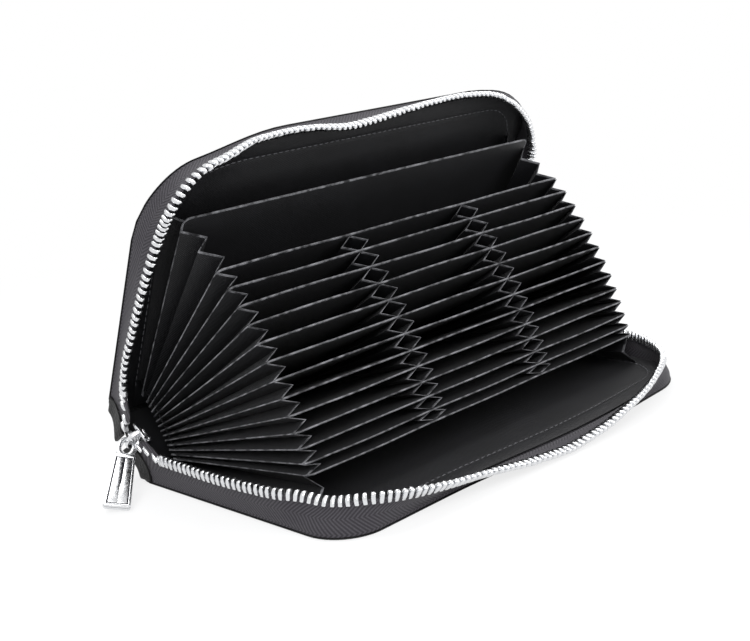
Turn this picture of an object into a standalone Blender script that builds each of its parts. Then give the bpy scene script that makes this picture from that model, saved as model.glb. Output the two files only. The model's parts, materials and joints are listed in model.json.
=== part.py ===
"""Zip-around accordion card wallet, lying open on its front cover.

Every piece is modelled in the closed position, where the two covers are parallel and the spine stands upright.
Empties at the joint axes then open it to the rest position. The origin is the middle of the face that the wallet
lies on, X runs along the spine to the far end, +Y points to the spine and +Z points up.
"""

import math

import bmesh
import bpy
from mathutils import Matrix, Vector

MM = 0.001

# Overall form, closed
LENGTH = 195 * MM
COVER_WIDTH = 102 * MM
CLOSED_THICKNESS = 26.5 * MM
FRONT_CORNER_RADIUS = 16 * MM
SPINE_CORNER_RADIUS = 7 * MM

# Layers of a cover and of the spine
LEATHER = 1.2 * MM
BOARD = 0.8 * MM
LINING = 0.4 * MM
BOARD_MARGIN = 4 * MM
LEATHER_EDGE_ROUND = 0.35 * MM
CLEARANCE = 0.3 * MM
FLUSH_OFFSET = 0.05 * MM

# How far it lies open, in degrees: each cover from the spine's square, and the pockets between the fan and the covers
HALF_OPENING_ANGLE = 32.8
REAR_BILL_ANGLE = 5.1
WIDE_POCKET_ANGLE = 13.8
FRONT_BILL_ANGLE = 6.8
FLAP_LEAN_ANGLE = 80
FAN_CROWDING_SHARE = 1.24

# Zip: tape and teeth
TAPE = 0.6 * MM
TAPE_INSET = 0.8 * MM
TOOTH_PITCH = 2.8 * MM
TOOTH_WIDTH = 1.1 * MM
TOOTH_REACH = 0.3 * MM
TOOTH_HEIGHT = 1.5 * MM
TOOTH_BAND = 2.6 * MM
TOOTH_THICKNESS = 2.2 * MM
ZIP_START = 15 * MM
ZIP_END = 9 * MM
TOP_STOP_LENGTH = 3 * MM
BOTTOM_STOP_LENGTH = 1.5 * MM
BOTTOM_STOP_WIDTH = 5 * MM

# Leather tabs over the ends of the tapes
TAB = 1 * MM
NEAR_TAB_LENGTH = 6.5 * MM
NEAR_TAB_WIDTH = 7 * MM
NEAR_TAB_FOOT = 2.5 * MM
FAR_TAB_LENGTH = 4.5 * MM

# Slider, with its bridge and puller
SLIDER_DEPTH = 8.7 * MM
SLIDER_TRAVEL = 5 * MM
SLIDER_LENGTH = 9.4 * MM
SLIDER_MOUTH_WIDTH = 9.4 * MM
SLIDER_TAIL_WIDTH = 7.6 * MM
SLIDER_PLATE = 1.1 * MM
SLIDER_FLANGE = 0.7 * MM
SLIDER_POST_LENGTH = 4.4 * MM
SLIDER_POST_WIDTH = 2 * MM
SLIDER_SLOT = 1.2 * MM
SLIDER_EDGE_ROUND = 0.3 * MM
BRIDGE_BAR = 1.2 * MM
BRIDGE_RISE = 2.9 * MM
BRIDGE_SPAN = 7.4 * MM
BRIDGE_FOOT_WIDTH = 6.6 * MM
BRIDGE_FOOT_REACH = 2.2 * MM
BRIDGE_FOOT_THICKNESS = 0.8 * MM
PULLER_LENGTH = 28.5 * MM
PULLER_THICKNESS = 2.2 * MM
PULLER_EYE_THICKNESS = 1.2 * MM
PULLER_EYE_RADIUS = 3.1 * MM
PULLER_HOLE_RADIUS = 2.05 * MM
PULLER_HANG = 1.0 * MM
PULLER_NECK_WIDTH = 7.4 * MM
PULLER_TIP_WIDTH = 9 * MM
PULLER_NECK_LENGTH = 6.5 * MM
PULLER_BORDER = 1.3 * MM
PULLER_RECESS = 0.45 * MM
PULLER_CORNER = 0.7 * MM
EYE_NECK_ANGLE = 60
PULLER_SWING_ANGLE = 51
PULLER_TILT_ANGLE = 15.5
PULLER_ROLL_ANGLE = -26

# Leaves, divider and gussets
LEAVES = 13
LEAF = 0.7 * MM
LEAF_PITCH = 1.4 * MM
LEAF_ROOT_DEPTH = 3.6 * MM
LEAF_FOOT = 1.3 * MM
LEAF_LENGTH = 78.5 * MM
DIVIDER_LENGTH = 82 * MM
LEAF_CORNER = 3 * MM
LEAF_NEAR_INSET = 9.4 * MM
LEAF_FAR_INSET = 7.6 * MM
COLUMNS = 3
GUSSET = 0.3 * MM
GUSSET_CLEARANCE = 0.15 * MM
GUSSET_START = 8 * MM
GUSSET_STRIP = 0.6 * MM
GUSSET_TOP_DROP = 1 * MM
ROW_FOLD = 6 * MM
WIDE_FOLD = 7 * MM
REAR_FOLD = 5 * MM
FRONT_FOLD = 6 * MM
LINING_REACH = 76 * MM

# Steps of the curved outlines
CORNER_STEPS = 8
SMALL_CORNER_STEPS = 4
ROUND_STEPS = 20
CUT_OVERRUN = 1 * MM

SPINE_Y = COVER_WIDTH / 2
FRONT_Y = -COVER_WIDTH / 2
NEAR_X = -LENGTH / 2
FAR_X = LENGTH / 2
MIDDLE_Z = CLOSED_THICKNESS / 2
DIVIDER_ELEVATION = 2 * HALF_OPENING_ANGLE - REAR_BILL_ANGLE
FIRST_LEAF_ELEVATION = DIVIDER_ELEVATION - WIDE_POCKET_ANGLE

BOARD_LOW = LEATHER + CLEARANCE
LINING_LOW = BOARD_LOW + BOARD + CLEARANCE
COVER_STACK = LINING_LOW + LINING
SPINE_STACK = LEATHER + CLEARANCE + LINING
TAPE_LOW = LEATHER + CLEARANCE
TOOTH_TOP = MIDDLE_Z + TOOTH_REACH
TOOTH_CREST = TOOTH_TOP - TOOTH_HEIGHT
TOOTH_LOW = TOOTH_CREST - TOOTH_BAND
TAPE_HIGH = TOOTH_LOW - CLEARANCE
ZIP_INSET = TAPE_INSET + TAPE / 2
LINING_INSET = TAPE_INSET + TAPE + CLEARANCE

LEAF_NEAR_X = NEAR_X + LEAF_NEAR_INSET
LEAF_FAR_X = FAR_X - LEAF_FAR_INSET
LEAF_ROOT_Y = SPINE_Y - LEAF_ROOT_DEPTH


# Placing: the empties that open the closed wallet

def clear_scene():
    for old in list(bpy.data.objects):
        bpy.data.objects.remove(old, do_unlink=True)


class Body:
    """A rigid group of pieces, turned about an axis along X through its origin in the closed position."""

    def __init__(self, name, parent, origin, degrees):
        self.origin = Vector(origin)
        self.empty = bpy.data.objects.new(name, None)
        bpy.context.scene.collection.objects.link(self.empty)
        parent_origin = Vector((0, 0, 0))
        self.to_rest = Matrix.Identity(4)
        if parent is not None:
            self.empty.parent = parent.empty
            parent_origin = parent.origin
            self.to_rest = parent.to_rest.copy()
        self.empty.location = self.origin - parent_origin
        turn = Matrix.Rotation(math.radians(degrees), 4, "X")
        self.empty.rotation_euler = (math.radians(degrees), 0, 0)
        self.to_rest = self.to_rest @ Matrix.Translation(self.origin) @ turn @ Matrix.Translation(-self.origin)

    def carry(self, obj):
        """Parents an object that is modelled in closed coordinates."""
        obj.data.transform(Matrix.Translation(-self.origin))
        obj.parent = self.empty
        return obj

    def carry_at_rest(self, obj):
        """Parents an object that is modelled where it lies at rest."""
        obj.data.transform(self.to_rest.inverted())
        return self.carry(obj)


def leaf_height(place):
    """Height of a leaf's axis on the closed spine: place 0 is the divider, 1 to LEAVES are the leaves."""
    return MIDDLE_Z + (LEAVES / 2 - place) * LEAF_PITCH


def leaf_elevation(place):
    """Angle of a leaf above the front cover at rest, in degrees."""
    if place == 0:
        return DIVIDER_ELEVATION
    share = (LEAVES - place) / (LEAVES - 1)
    return FRONT_BILL_ANGLE + (FIRST_LEAF_ELEVATION - FRONT_BILL_ANGLE) * share**FAN_CROWDING_SHARE


# Materials

def material(name, colour, roughness, metallic=0):
    made = bpy.data.materials.new(name)
    made.use_nodes = True
    shader = made.node_tree.nodes["Principled BSDF"]
    shader.inputs["Base Color"].default_value = (*colour, 1)
    shader.inputs["Roughness"].default_value = roughness
    shader.inputs["Metallic"].default_value = metallic
    made.diffuse_color = (*colour, 1)
    return made


# Mesh helpers

def mesh_object(name, points, faces, finish):
    mesh = bpy.data.meshes.new(name)
    mesh.from_pydata(points, [], faces)
    mesh.materials.append(finish)
    bm = bmesh.new()
    bm.from_mesh(mesh)
    bmesh.ops.recalc_face_normals(bm, faces=bm.faces)
    bm.to_mesh(mesh)
    bm.free()
    obj = bpy.data.objects.new(name, mesh)
    bpy.context.scene.collection.objects.link(obj)
    return obj


def prism(name, outline, low, high, place, finish):
    """An outline of (p, q) points carried from low to high, each corner put in space by place(p, q, height)."""
    count = len(outline)
    points = [place(p, q, low) for p, q in outline] + [place(p, q, high) for p, q in outline]
    faces = [tuple(range(count)), tuple(range(count, 2 * count))]
    faces += [(i, (i + 1) % count, count + (i + 1) % count, count + i) for i in range(count)]
    return mesh_object(name, points, faces, finish)


def flat(x, y, z):
    return (x, y, z)


def flat_rear(x, y, z):
    """The rear cover's mirror image of the front cover's place."""
    return (x, y, CLOSED_THICKNESS - z)


def arc(centre, radius, start, end, steps):
    """Points on an arc, with the angles in degrees."""
    found = []
    for step in range(steps + 1):
        angle = math.radians(start + (end - start) * step / steps)
        found.append((centre[0] + radius * math.cos(angle), centre[1] + radius * math.sin(angle)))
    return found


def cover_outline(inset, spine_gap):
    """A cover's outline, drawn in by inset on three sides and by spine_gap at the spine."""
    big = FRONT_CORNER_RADIUS - inset
    small = SPINE_CORNER_RADIUS - min(inset, SPINE_CORNER_RADIUS / 2)
    near, far = NEAR_X + inset, FAR_X - inset
    front, back = FRONT_Y + inset, SPINE_Y - spine_gap
    return (
        arc((near + big, front + big), big, 180, 270, CORNER_STEPS)
        + arc((far - big, front + big), big, 270, 360, CORNER_STEPS)
        + arc((far - small, back - small), small, 0, 90, SMALL_CORNER_STEPS)
        + arc((near + small, back - small), small, 90, 180, SMALL_CORNER_STEPS)
    )


def bevel(obj, width, segments=2):
    made = obj.modifiers.new("edge_round", "BEVEL")
    made.width = width
    made.segments = segments
    made.limit_method = "ANGLE"
    made.angle_limit = math.radians(50)
    return obj


def cut(obj, cutter, operation="DIFFERENCE"):
    cutter.hide_render = True
    cutter.display_type = "WIRE"
    made = obj.modifiers.new(operation.lower(), "BOOLEAN")
    made.operation = operation
    made.solver = "EXACT"
    made.object = cutter
    return obj


def smooth(obj):
    obj.data.shade_smooth()
    obj.data.set_sharp_from_angle(angle=math.radians(35))
    return obj


# Covers and spine

def cover_layers(side, place, body, leather, board, lining):
    shell = prism(f"{side}_cover_leather", cover_outline(0, 0), 0, LEATHER, place, leather)
    smooth(bevel(body.carry(shell), LEATHER_EDGE_ROUND))
    stiffener = cover_outline(BOARD_MARGIN, SPINE_STACK + CLEARANCE)
    body.carry(prism(f"{side}_cover_board", stiffener, BOARD_LOW, BOARD_LOW + BOARD, place, board))
    inner = cover_outline(LINING_INSET, LEATHER + CLEARANCE)
    body.carry(prism(f"{side}_cover_lining", inner, LINING_LOW, COVER_STACK, place, lining))


def spine_outline(end_inset, low, high):
    """The spine's outline in (x, z)."""
    return [
        (NEAR_X + end_inset, low),
        (FAR_X - end_inset, low),
        (FAR_X - end_inset, high),
        (NEAR_X + end_inset, high),
    ]


def spine_place(x, z, depth):
    return (x, SPINE_Y - depth, z)


def spine_layers(body, leather, lining):
    low = LEATHER + CLEARANCE
    outline = spine_outline(SPINE_CORNER_RADIUS / 2, low, CLOSED_THICKNESS - low)
    shell = prism("spine_leather", outline, 0, LEATHER, spine_place, leather)
    bevel(body.carry(shell), LEATHER_EDGE_ROUND)
    low = COVER_STACK + CLEARANCE
    outline = spine_outline(LINING_INSET, low, CLOSED_THICKNESS - low)
    inner_low = LEATHER + CLEARANCE
    body.carry(prism("spine_lining", outline, inner_low, inner_low + LINING, spine_place, lining))


# Zip tapes and teeth

NEAR_RUN = COVER_WIDTH - FRONT_CORNER_RADIUS - ZIP_START
LONG_RUN = LENGTH - 2 * FRONT_CORNER_RADIUS
FAR_RUN = COVER_WIDTH - FRONT_CORNER_RADIUS - ZIP_END
CORNER_RUN = (FRONT_CORNER_RADIUS - ZIP_INSET) * math.pi / 2
NEAR_PIECE = NEAR_RUN + CORNER_RUN
LONG_PIECE = NEAR_PIECE + LONG_RUN
ZIP_RUN = LONG_PIECE + CORNER_RUN + FAR_RUN
TEETH_START = SLIDER_DEPTH + SLIDER_LENGTH / 2 + SLIDER_TRAVEL + CLEARANCE - ZIP_START


def zip_point(run):
    """The point (x, y) of the zip's centre line after a length of run, and its outward normal."""
    turn_radius = FRONT_CORNER_RADIUS - ZIP_INSET
    turn_y = FRONT_Y + FRONT_CORNER_RADIUS
    if run <= NEAR_RUN:
        return (NEAR_X + ZIP_INSET, SPINE_Y - ZIP_START - run), (-1, 0)
    if run <= NEAR_PIECE:
        angle = math.pi + (run - NEAR_RUN) / turn_radius
        centre = NEAR_X + FRONT_CORNER_RADIUS
    elif run <= LONG_PIECE:
        return (NEAR_X + FRONT_CORNER_RADIUS + run - NEAR_PIECE, FRONT_Y + ZIP_INSET), (0, -1)
    elif run <= LONG_PIECE + CORNER_RUN:
        angle = 1.5 * math.pi + (run - LONG_PIECE) / turn_radius
        centre = FAR_X - FRONT_CORNER_RADIUS
    else:
        y = turn_y + run - LONG_PIECE - CORNER_RUN
        return (FAR_X - ZIP_INSET, y), (1, 0)
    normal = (math.cos(angle), math.sin(angle))
    return (centre + turn_radius * normal[0], turn_y + turn_radius * normal[1]), normal


def beside(run, sideways):
    """A point beside the zip's centre line, outwards where sideways is positive."""
    point, normal = zip_point(run)
    return point[0] + normal[0] * sideways, point[1] + normal[1] * sideways


def corner_stations(start, end):
    """Lengths along the zip at which a smooth band from start to end needs its points."""
    stations = {start, end}
    for first in (NEAR_RUN, LONG_PIECE):
        for step in range(CORNER_STEPS + 1):
            run = first + CORNER_RUN * step / CORNER_STEPS
            if start < run < end:
                stations.add(run)
    return sorted(stations)


def tape_piece(name, start, end, place, finish):
    runs = corner_stations(start, end)
    outline = [beside(run, TAPE / 2) for run in runs] + [beside(run, -TAPE / 2) for run in reversed(runs)]
    return prism(name, outline, TAPE_LOW, TAPE_HIGH, place, finish)


def tooth_piece(name, start, end, offset, place, finish):
    """A band that carries the teeth between start and end, one solid with a low crest between each two teeth."""
    first = math.ceil((start - offset) / TOOTH_PITCH)
    last = math.floor((end - offset - TOOTH_WIDTH) / TOOTH_PITCH)
    starts = [offset + number * TOOTH_PITCH for number in range(first, last + 1)]
    margin = (TOOTH_PITCH - TOOTH_WIDTH) / 2 - CLEARANCE
    points, faces = [], []

    def pair(run, height):
        for sideways in (TOOTH_THICKNESS / 2, -TOOTH_THICKNESS / 2):
            points.append(place(*beside(run, sideways), height))
        return len(points) - 2

    def across(a, b):
        faces.append((a, a + 1, b + 1, b))

    def along(*corners):
        faces.extend(tuple(corner + side for corner in corners) for side in (0, 1))

    low = pair(starts[0] - margin, TOOTH_LOW)
    before = pair(starts[0] - margin, TOOTH_CREST)
    across(low, before)
    foot = pair(starts[0], TOOTH_CREST)
    across(before, foot)
    along(low, before, foot)
    for number, run in enumerate(starts):
        top, top_end = pair(run, TOOTH_TOP), pair(run + TOOTH_WIDTH, TOOTH_TOP)
        foot_end = pair(run + TOOTH_WIDTH, TOOTH_CREST)
        is_last = number == len(starts) - 1
        next_run = run + TOOTH_WIDTH + margin if is_last else starts[number + 1]
        next_foot, next_low = pair(next_run, TOOTH_CREST), pair(next_run, TOOTH_LOW)
        for a, b in ((foot, top), (top, top_end), (top_end, foot_end), (foot_end, next_foot), (next_low, low)):
            across(a, b)
        along(foot, top, top_end, foot_end)
        along(low, foot, foot_end)
        along(low, foot_end, next_low)
        along(next_low, foot_end, next_foot)
        foot, low = next_foot, next_low
    across(foot, low)
    return mesh_object(name, points, faces, finish)


def zip_half(side, place, bodies, offset, tape, metal):
    """Tape and teeth of one side. bodies gives what carries the near, long and far pieces."""
    cuts = (0, NEAR_PIECE, LONG_PIECE, ZIP_RUN)
    for number, part in enumerate(("near", "long", "far")):
        start = cuts[number] + (CLEARANCE / 2 if number else 0)
        end = cuts[number + 1] - (CLEARANCE / 2 if number < 2 else 0)
        bodies[number].carry(tape_piece(f"{side}_zip_tape_{part}", start, end, place, tape))
        start = start if number else TEETH_START
        bodies[number].carry(tooth_piece(f"{side}_zip_teeth_{part}", start, end, offset, place, metal))


def top_stop(side, place, body, metal):
    """The stop at the far end of one row of teeth, clamped beyond the last tooth."""
    start = ZIP_RUN + CLEARANCE
    half = TOOTH_THICKNESS / 2
    y = SPINE_Y - ZIP_END + start - ZIP_RUN
    x = FAR_X - ZIP_INSET
    outline = [(x - half, y), (x + half, y), (x + half, y + TOP_STOP_LENGTH), (x - half, y + TOP_STOP_LENGTH)]
    made = prism(f"{side}_top_stop", outline, TOOTH_LOW, TOOTH_CREST + TOOTH_REACH, place, metal)
    body.carry(bevel(made, SLIDER_EDGE_ROUND, 1))


def far_tab(side, place, body, leather):
    """Leather tab that covers the tape's end below the top stop, on the cover's far end."""
    y = SPINE_Y - ZIP_END + CLEARANCE
    x = FAR_X - TAPE_INSET
    outline = [(x - TAB, y), (x, y), (x, y + FAR_TAB_LENGTH), (x - TAB, y + FAR_TAB_LENGTH)]
    body.carry(prism(f"{side}_far_tab", outline, COVER_STACK + CLEARANCE, TAPE_HIGH, place, leather))


# The zip's near end, carried by the spine

def end_place(x):
    """Gives the function that turns depth, height from the middle and distance out of x into a closed point."""
    def place(depth, height, out):
        return (x - out, SPINE_Y - depth, MIDDLE_Z + height)
    return place


def near_tab(name, sign, body, leather):
    """Leather tab from the spine's edge to the slider, over the end of one tape."""
    foot = MIDDLE_Z - NEAR_TAB_FOOT
    start = SPINE_STACK + CLEARANCE
    outline = [
        (start, sign * foot),
        (start + NEAR_TAB_LENGTH / 2, sign * foot),
        (start + NEAR_TAB_LENGTH, sign * (foot - NEAR_TAB_WIDTH)),
        (start, sign * (foot - NEAR_TAB_WIDTH)),
    ]
    body.carry(prism(name, outline, 0, TAB, end_place(NEAR_X + LINING_INSET), leather))


def bottom_stop(body, metal):
    """The clip that joins both tapes behind the slider."""
    start = SPINE_STACK + CLEARANCE
    half = BOTTOM_STOP_WIDTH / 2
    outline = [(start, -half), (start + BOTTOM_STOP_LENGTH, -half), (start + BOTTOM_STOP_LENGTH, half), (start, half)]
    thickness = TOOTH_THICKNESS / 2
    made = prism("bottom_stop", outline, -thickness, thickness, end_place(NEAR_X + ZIP_INSET), metal)
    body.carry(bevel(made, SLIDER_EDGE_ROUND, 1))


# Slider. Its own axes are u along the zip away from the spine, v across it, and n outwards

SLIDER_HALF_HEIGHT = TOOTH_THICKNESS / 2 + CLEARANCE + SLIDER_PLATE
BRIDGE_AXIS = SLIDER_HALF_HEIGHT + BRIDGE_RISE
SLIDER_ORIGIN = Vector((NEAR_X + ZIP_INSET, SPINE_Y - SLIDER_DEPTH, MIDDLE_Z))


def slider_place(u, v, n):
    return (SLIDER_ORIGIN.x - n, SLIDER_ORIGIN.y - u, SLIDER_ORIGIN.z + v)


def slider_side_place(u, n, v):
    return slider_place(u, v, n)


def slider_body(body, metal):
    half = SLIDER_LENGTH / 2
    mouth, tail = SLIDER_MOUTH_WIDTH / 2, SLIDER_TAIL_WIDTH / 2
    shoulder = half / 2
    outline = [(-half, -tail), (0, -tail), (shoulder, -mouth), (half, -mouth)]
    outline += [(u, -v) for u, v in reversed(outline)]
    block = prism("slider_body", outline, -SLIDER_HALF_HEIGHT, SLIDER_HALF_HEIGHT, slider_place, metal)
    channel = SLIDER_HALF_HEIGHT - SLIDER_PLATE
    post_half = SLIDER_POST_WIDTH / 2
    past = half + CUT_OVERRUN
    for sign in (-1, 1):
        lane = [
            (-past, -sign * CLEARANCE),
            (-past, sign * (tail - SLIDER_FLANGE)),
            (0, sign * (tail - SLIDER_FLANGE)),
            (shoulder, sign * (mouth - SLIDER_FLANGE)),
            (past, sign * (mouth - SLIDER_FLANGE)),
            (past, sign * post_half),
            (half - SLIDER_POST_LENGTH / 2, sign * post_half),
            (half - SLIDER_POST_LENGTH, -sign * CLEARANCE),
        ]
        cut(block, body.carry(prism("chain_lane", lane, -channel, channel, slider_place, metal)))
        slot_half = SLIDER_SLOT / 2
        slot = [
            (-past, sign * post_half),
            (past, sign * post_half),
            (past, sign * (mouth + CUT_OVERRUN)),
            (-past, sign * (mouth + CUT_OVERRUN)),
        ]
        cut(block, body.carry(prism("tape_slot", slot, -slot_half, slot_half, slider_place, metal)))
    smooth(bevel(body.carry(block), SLIDER_EDGE_ROUND, 1))


def slider_bridge(body, metal):
    """An arch along the slider, each foot of which spreads in two prongs."""
    base = SLIDER_HALF_HEIGHT + CLEARANCE
    inner = BRIDGE_SPAN / 2
    outer = inner + BRIDGE_BAR
    under = BRIDGE_AXIS - BRIDGE_BAR / 2
    over = BRIDGE_AXIS + BRIDGE_BAR / 2
    arch = [
        (-outer, base), (-inner, base), (-inner, under - BRIDGE_BAR / 2), (-inner + BRIDGE_BAR / 2, under),
        (inner - BRIDGE_BAR / 2, under), (inner, under - BRIDGE_BAR / 2), (inner, base), (outer, base),
        (outer, over - BRIDGE_BAR), (outer - BRIDGE_BAR, over), (-outer + BRIDGE_BAR, over), (-outer, over - BRIDGE_BAR),
    ]
    half = BRIDGE_BAR / 2
    made = prism("slider_bridge", arch, -half, half, slider_side_place, metal)
    top = base + BRIDGE_FOOT_THICKNESS
    wide = BRIDGE_FOOT_WIDTH / 2
    for sign in (-1, 1):
        foot = [
            (sign * (inner + CLEARANCE), -half / 2),
            (sign * (outer - BRIDGE_FOOT_REACH), -wide),
            (sign * (outer - CLEARANCE), -half),
            (sign * (outer - CLEARANCE), half),
            (sign * (outer - BRIDGE_FOOT_REACH), wide),
            (sign * (inner + CLEARANCE), half / 2),
        ]
        prongs = prism("bridge_prongs", foot, base + FLUSH_OFFSET, top, slider_place, metal)
        cut(made, body.carry(prongs), "UNION")
    body.carry(made)


# Puller

def puller_frame():
    """Columns: along the puller, across it and out of its face, then the bridge bar's middle, all at rest."""
    spine_turn = Matrix.Rotation(math.radians(-HALF_OPENING_ANGLE), 3, "X")
    out = Vector((-1, 0, 0))
    along_zip = spine_turn @ Vector((0, -1, 0))
    across_zip = spine_turn @ Vector((0, 0, 1))
    swing, tilt = math.radians(PULLER_SWING_ANGLE), math.radians(PULLER_TILT_ANGLE)
    roll = math.radians(PULLER_ROLL_ANGLE)
    hanging = math.cos(swing) * out - math.sin(swing) * across_zip
    sideways = along_zip.cross(hanging)
    length = math.cos(tilt) * hanging + math.sin(tilt) * along_zip
    tilted = math.cos(tilt) * along_zip - math.sin(tilt) * hanging
    normal = math.cos(roll) * tilted + math.sin(roll) * sideways
    width = normal.cross(length)
    return length, width, normal


def puller(body, pivot, metal):
    length, width, normal = puller_frame()

    def place(r, w, n):
        return pivot + length * r + width * w + normal * n

    hang = PULLER_HANG
    neck, tip = PULLER_NECK_WIDTH / 2, PULLER_TIP_WIDTH / 2
    neck_end = PULLER_NECK_LENGTH
    corner = PULLER_CORNER
    blade = [
        (neck_end - PULLER_EYE_RADIUS + hang, -neck),
        (neck_end, -neck),
        (PULLER_LENGTH - corner, -tip),
        (PULLER_LENGTH, -tip + corner),
        (PULLER_LENGTH, tip - corner),
        (PULLER_LENGTH - corner, tip),
        (neck_end, neck),
        (neck_end - PULLER_EYE_RADIUS + hang, neck),
    ]
    half = PULLER_THICKNESS / 2
    made = prism("puller", blade, -half, half, place, metal)
    eye = arc((hang, 0), PULLER_EYE_RADIUS, EYE_NECK_ANGLE, 360 - EYE_NECK_ANGLE, ROUND_STEPS)
    eye += [(neck_end, -PULLER_EYE_RADIUS / 2), (neck_end, PULLER_EYE_RADIUS / 2)]
    eye_half = PULLER_EYE_THICKNESS / 2
    cut(made, body.carry_at_rest(prism("puller_eye", eye, -eye_half, eye_half, place, metal)), "UNION")
    hole = arc((hang, 0), PULLER_HOLE_RADIUS, 0, 360, ROUND_STEPS)[:-1]
    past = half + CUT_OVERRUN
    cut(made, body.carry_at_rest(prism("puller_hole", hole, -past, past, place, metal)))
    rim = PULLER_BORDER
    recess = [
        (neck_end + rim, -neck + rim),
        (PULLER_LENGTH - rim, -tip + rim),
        (PULLER_LENGTH - rim, tip - rim),
        (neck_end + rim, neck - rim),
    ]
    for sign in (-1, 1):
        low, high = sorted((sign * (half - PULLER_RECESS), sign * past))
        cut(made, body.carry_at_rest(prism("puller_recess", recess, low, high, place, metal)))
    body.carry_at_rest(made)


# Leaves, divider and gussets

def leaf_outline(reach):
    """A leaf's outline in (x, distance from its axis), rounded at its two outer corners."""
    r = LEAF_CORNER
    return (
        [(LEAF_NEAR_X, -LEAF_FOOT), (LEAF_FAR_X, -LEAF_FOOT)]
        + arc((LEAF_FAR_X - r, reach - r), r, 0, 90, SMALL_CORNER_STEPS)
        + arc((LEAF_NEAR_X + r, reach - r), r, 90, 180, SMALL_CORNER_STEPS)
    )


def leaf(name, place_number, reach, body, fabric):
    height = leaf_height(place_number)

    def place(x, r, z):
        return (x, LEAF_ROOT_Y - r, height + z)

    body.carry(prism(name, leaf_outline(reach), -LEAF / 2, LEAF / 2, place, fabric))


class Face:
    """A side of a leaf or of a cover's lining, as the fold beside it sees it: a line out from the spine."""

    def __init__(self, body, root_y, root_z):
        self.root = body.to_rest @ Vector((0, root_y, root_z))
        self.direction = body.to_rest.to_3x3() @ Vector((0, -1, 0))

    def at(self, x, reach):
        point = self.root + self.direction * reach
        return Vector((x, point.y, point.z))


def leaf_face(body, place_number, sign):
    """The face of a leaf that looks to the rear cover (sign 1) or to the front cover (sign -1)."""
    return Face(body, LEAF_ROOT_Y, leaf_height(place_number) + sign * (LEAF / 2 + GUSSET_CLEARANCE))


def between(upper, lower, x, reach, share):
    """A point between two faces: share 0 is on the upper one and share 1 on the lower one."""
    return upper.at(x, reach).lerp(lower.at(x, reach), share)


def fold_wall(name, upper, lower, x, folds, fold, start, end, finish):
    """A pleated wall across the space between two faces, fold deep along X, with a number of folds.

    Its sloping sides are as thick as the gusset's fabric at the mouth. They are twisted, so both sides of the fabric
    are cut along the same diagonals, which keeps them apart.
    """
    steps = 2 * folds
    rise = (upper.at(x, end) - lower.at(x, end)).length / steps
    thick = math.copysign(GUSSET * math.hypot(fold, rise) / rise, fold)
    points = []
    for number in range(steps + 1):
        fold_x = x + (fold if number % 2 else 0)
        for place_x in (fold_x, fold_x + thick):
            points += [between(upper, lower, place_x, reach, number / steps) for reach in (start, end)]
    faces = [(0, 1, 3, 2), tuple(4 * steps + corner for corner in (0, 1, 3, 2))]
    for number in range(steps):
        a, b = 4 * number, 4 * (number + 1)
        for side in (0, 2):
            faces += [(a + side, a + side + 1, b + side + 1), (a + side, b + side + 1, b + side)]
        faces += [(a, a + 2, b + 2, b), (a + 1, a + 3, b + 3, b + 1)]
    return mesh_object(name, points, faces, finish)


def gusset(name, body, upper, lower, folds, fold, columns, reach, finish):
    """The folded strip between two faces: its bottom, and a pleated wall at each end and column boundary."""
    start, width = GUSSET_START, GUSSET_STRIP
    near, far = LEAF_NEAR_X, LEAF_FAR_X
    strip = []
    for x in (near + LEAF_CORNER, far - LEAF_CORNER):
        for distance in (start, start + width):
            gap = (upper.at(x, distance) - lower.at(x, distance)).length
            edge = FLUSH_OFFSET / gap
            strip += [between(upper, lower, x, distance, edge), between(upper, lower, x, distance, 1 - edge)]
    quads = [(0, 1, 3, 2), (4, 5, 7, 6), (0, 1, 5, 4), (2, 3, 7, 6), (0, 2, 6, 4), (1, 3, 7, 5)]
    made = mesh_object(name, strip, quads, finish)
    pitch = (far - near) / columns
    for number in range(columns + 1):
        x = near + pitch * number
        depth = fold if number < columns else -fold
        wall = fold_wall("fold_wall", upper, lower, x, folds, depth, start + FLUSH_OFFSET, reach, finish)
        cut(made, body.carry_at_rest(wall), "UNION")
    body.carry_at_rest(made)


# The whole wallet

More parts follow.
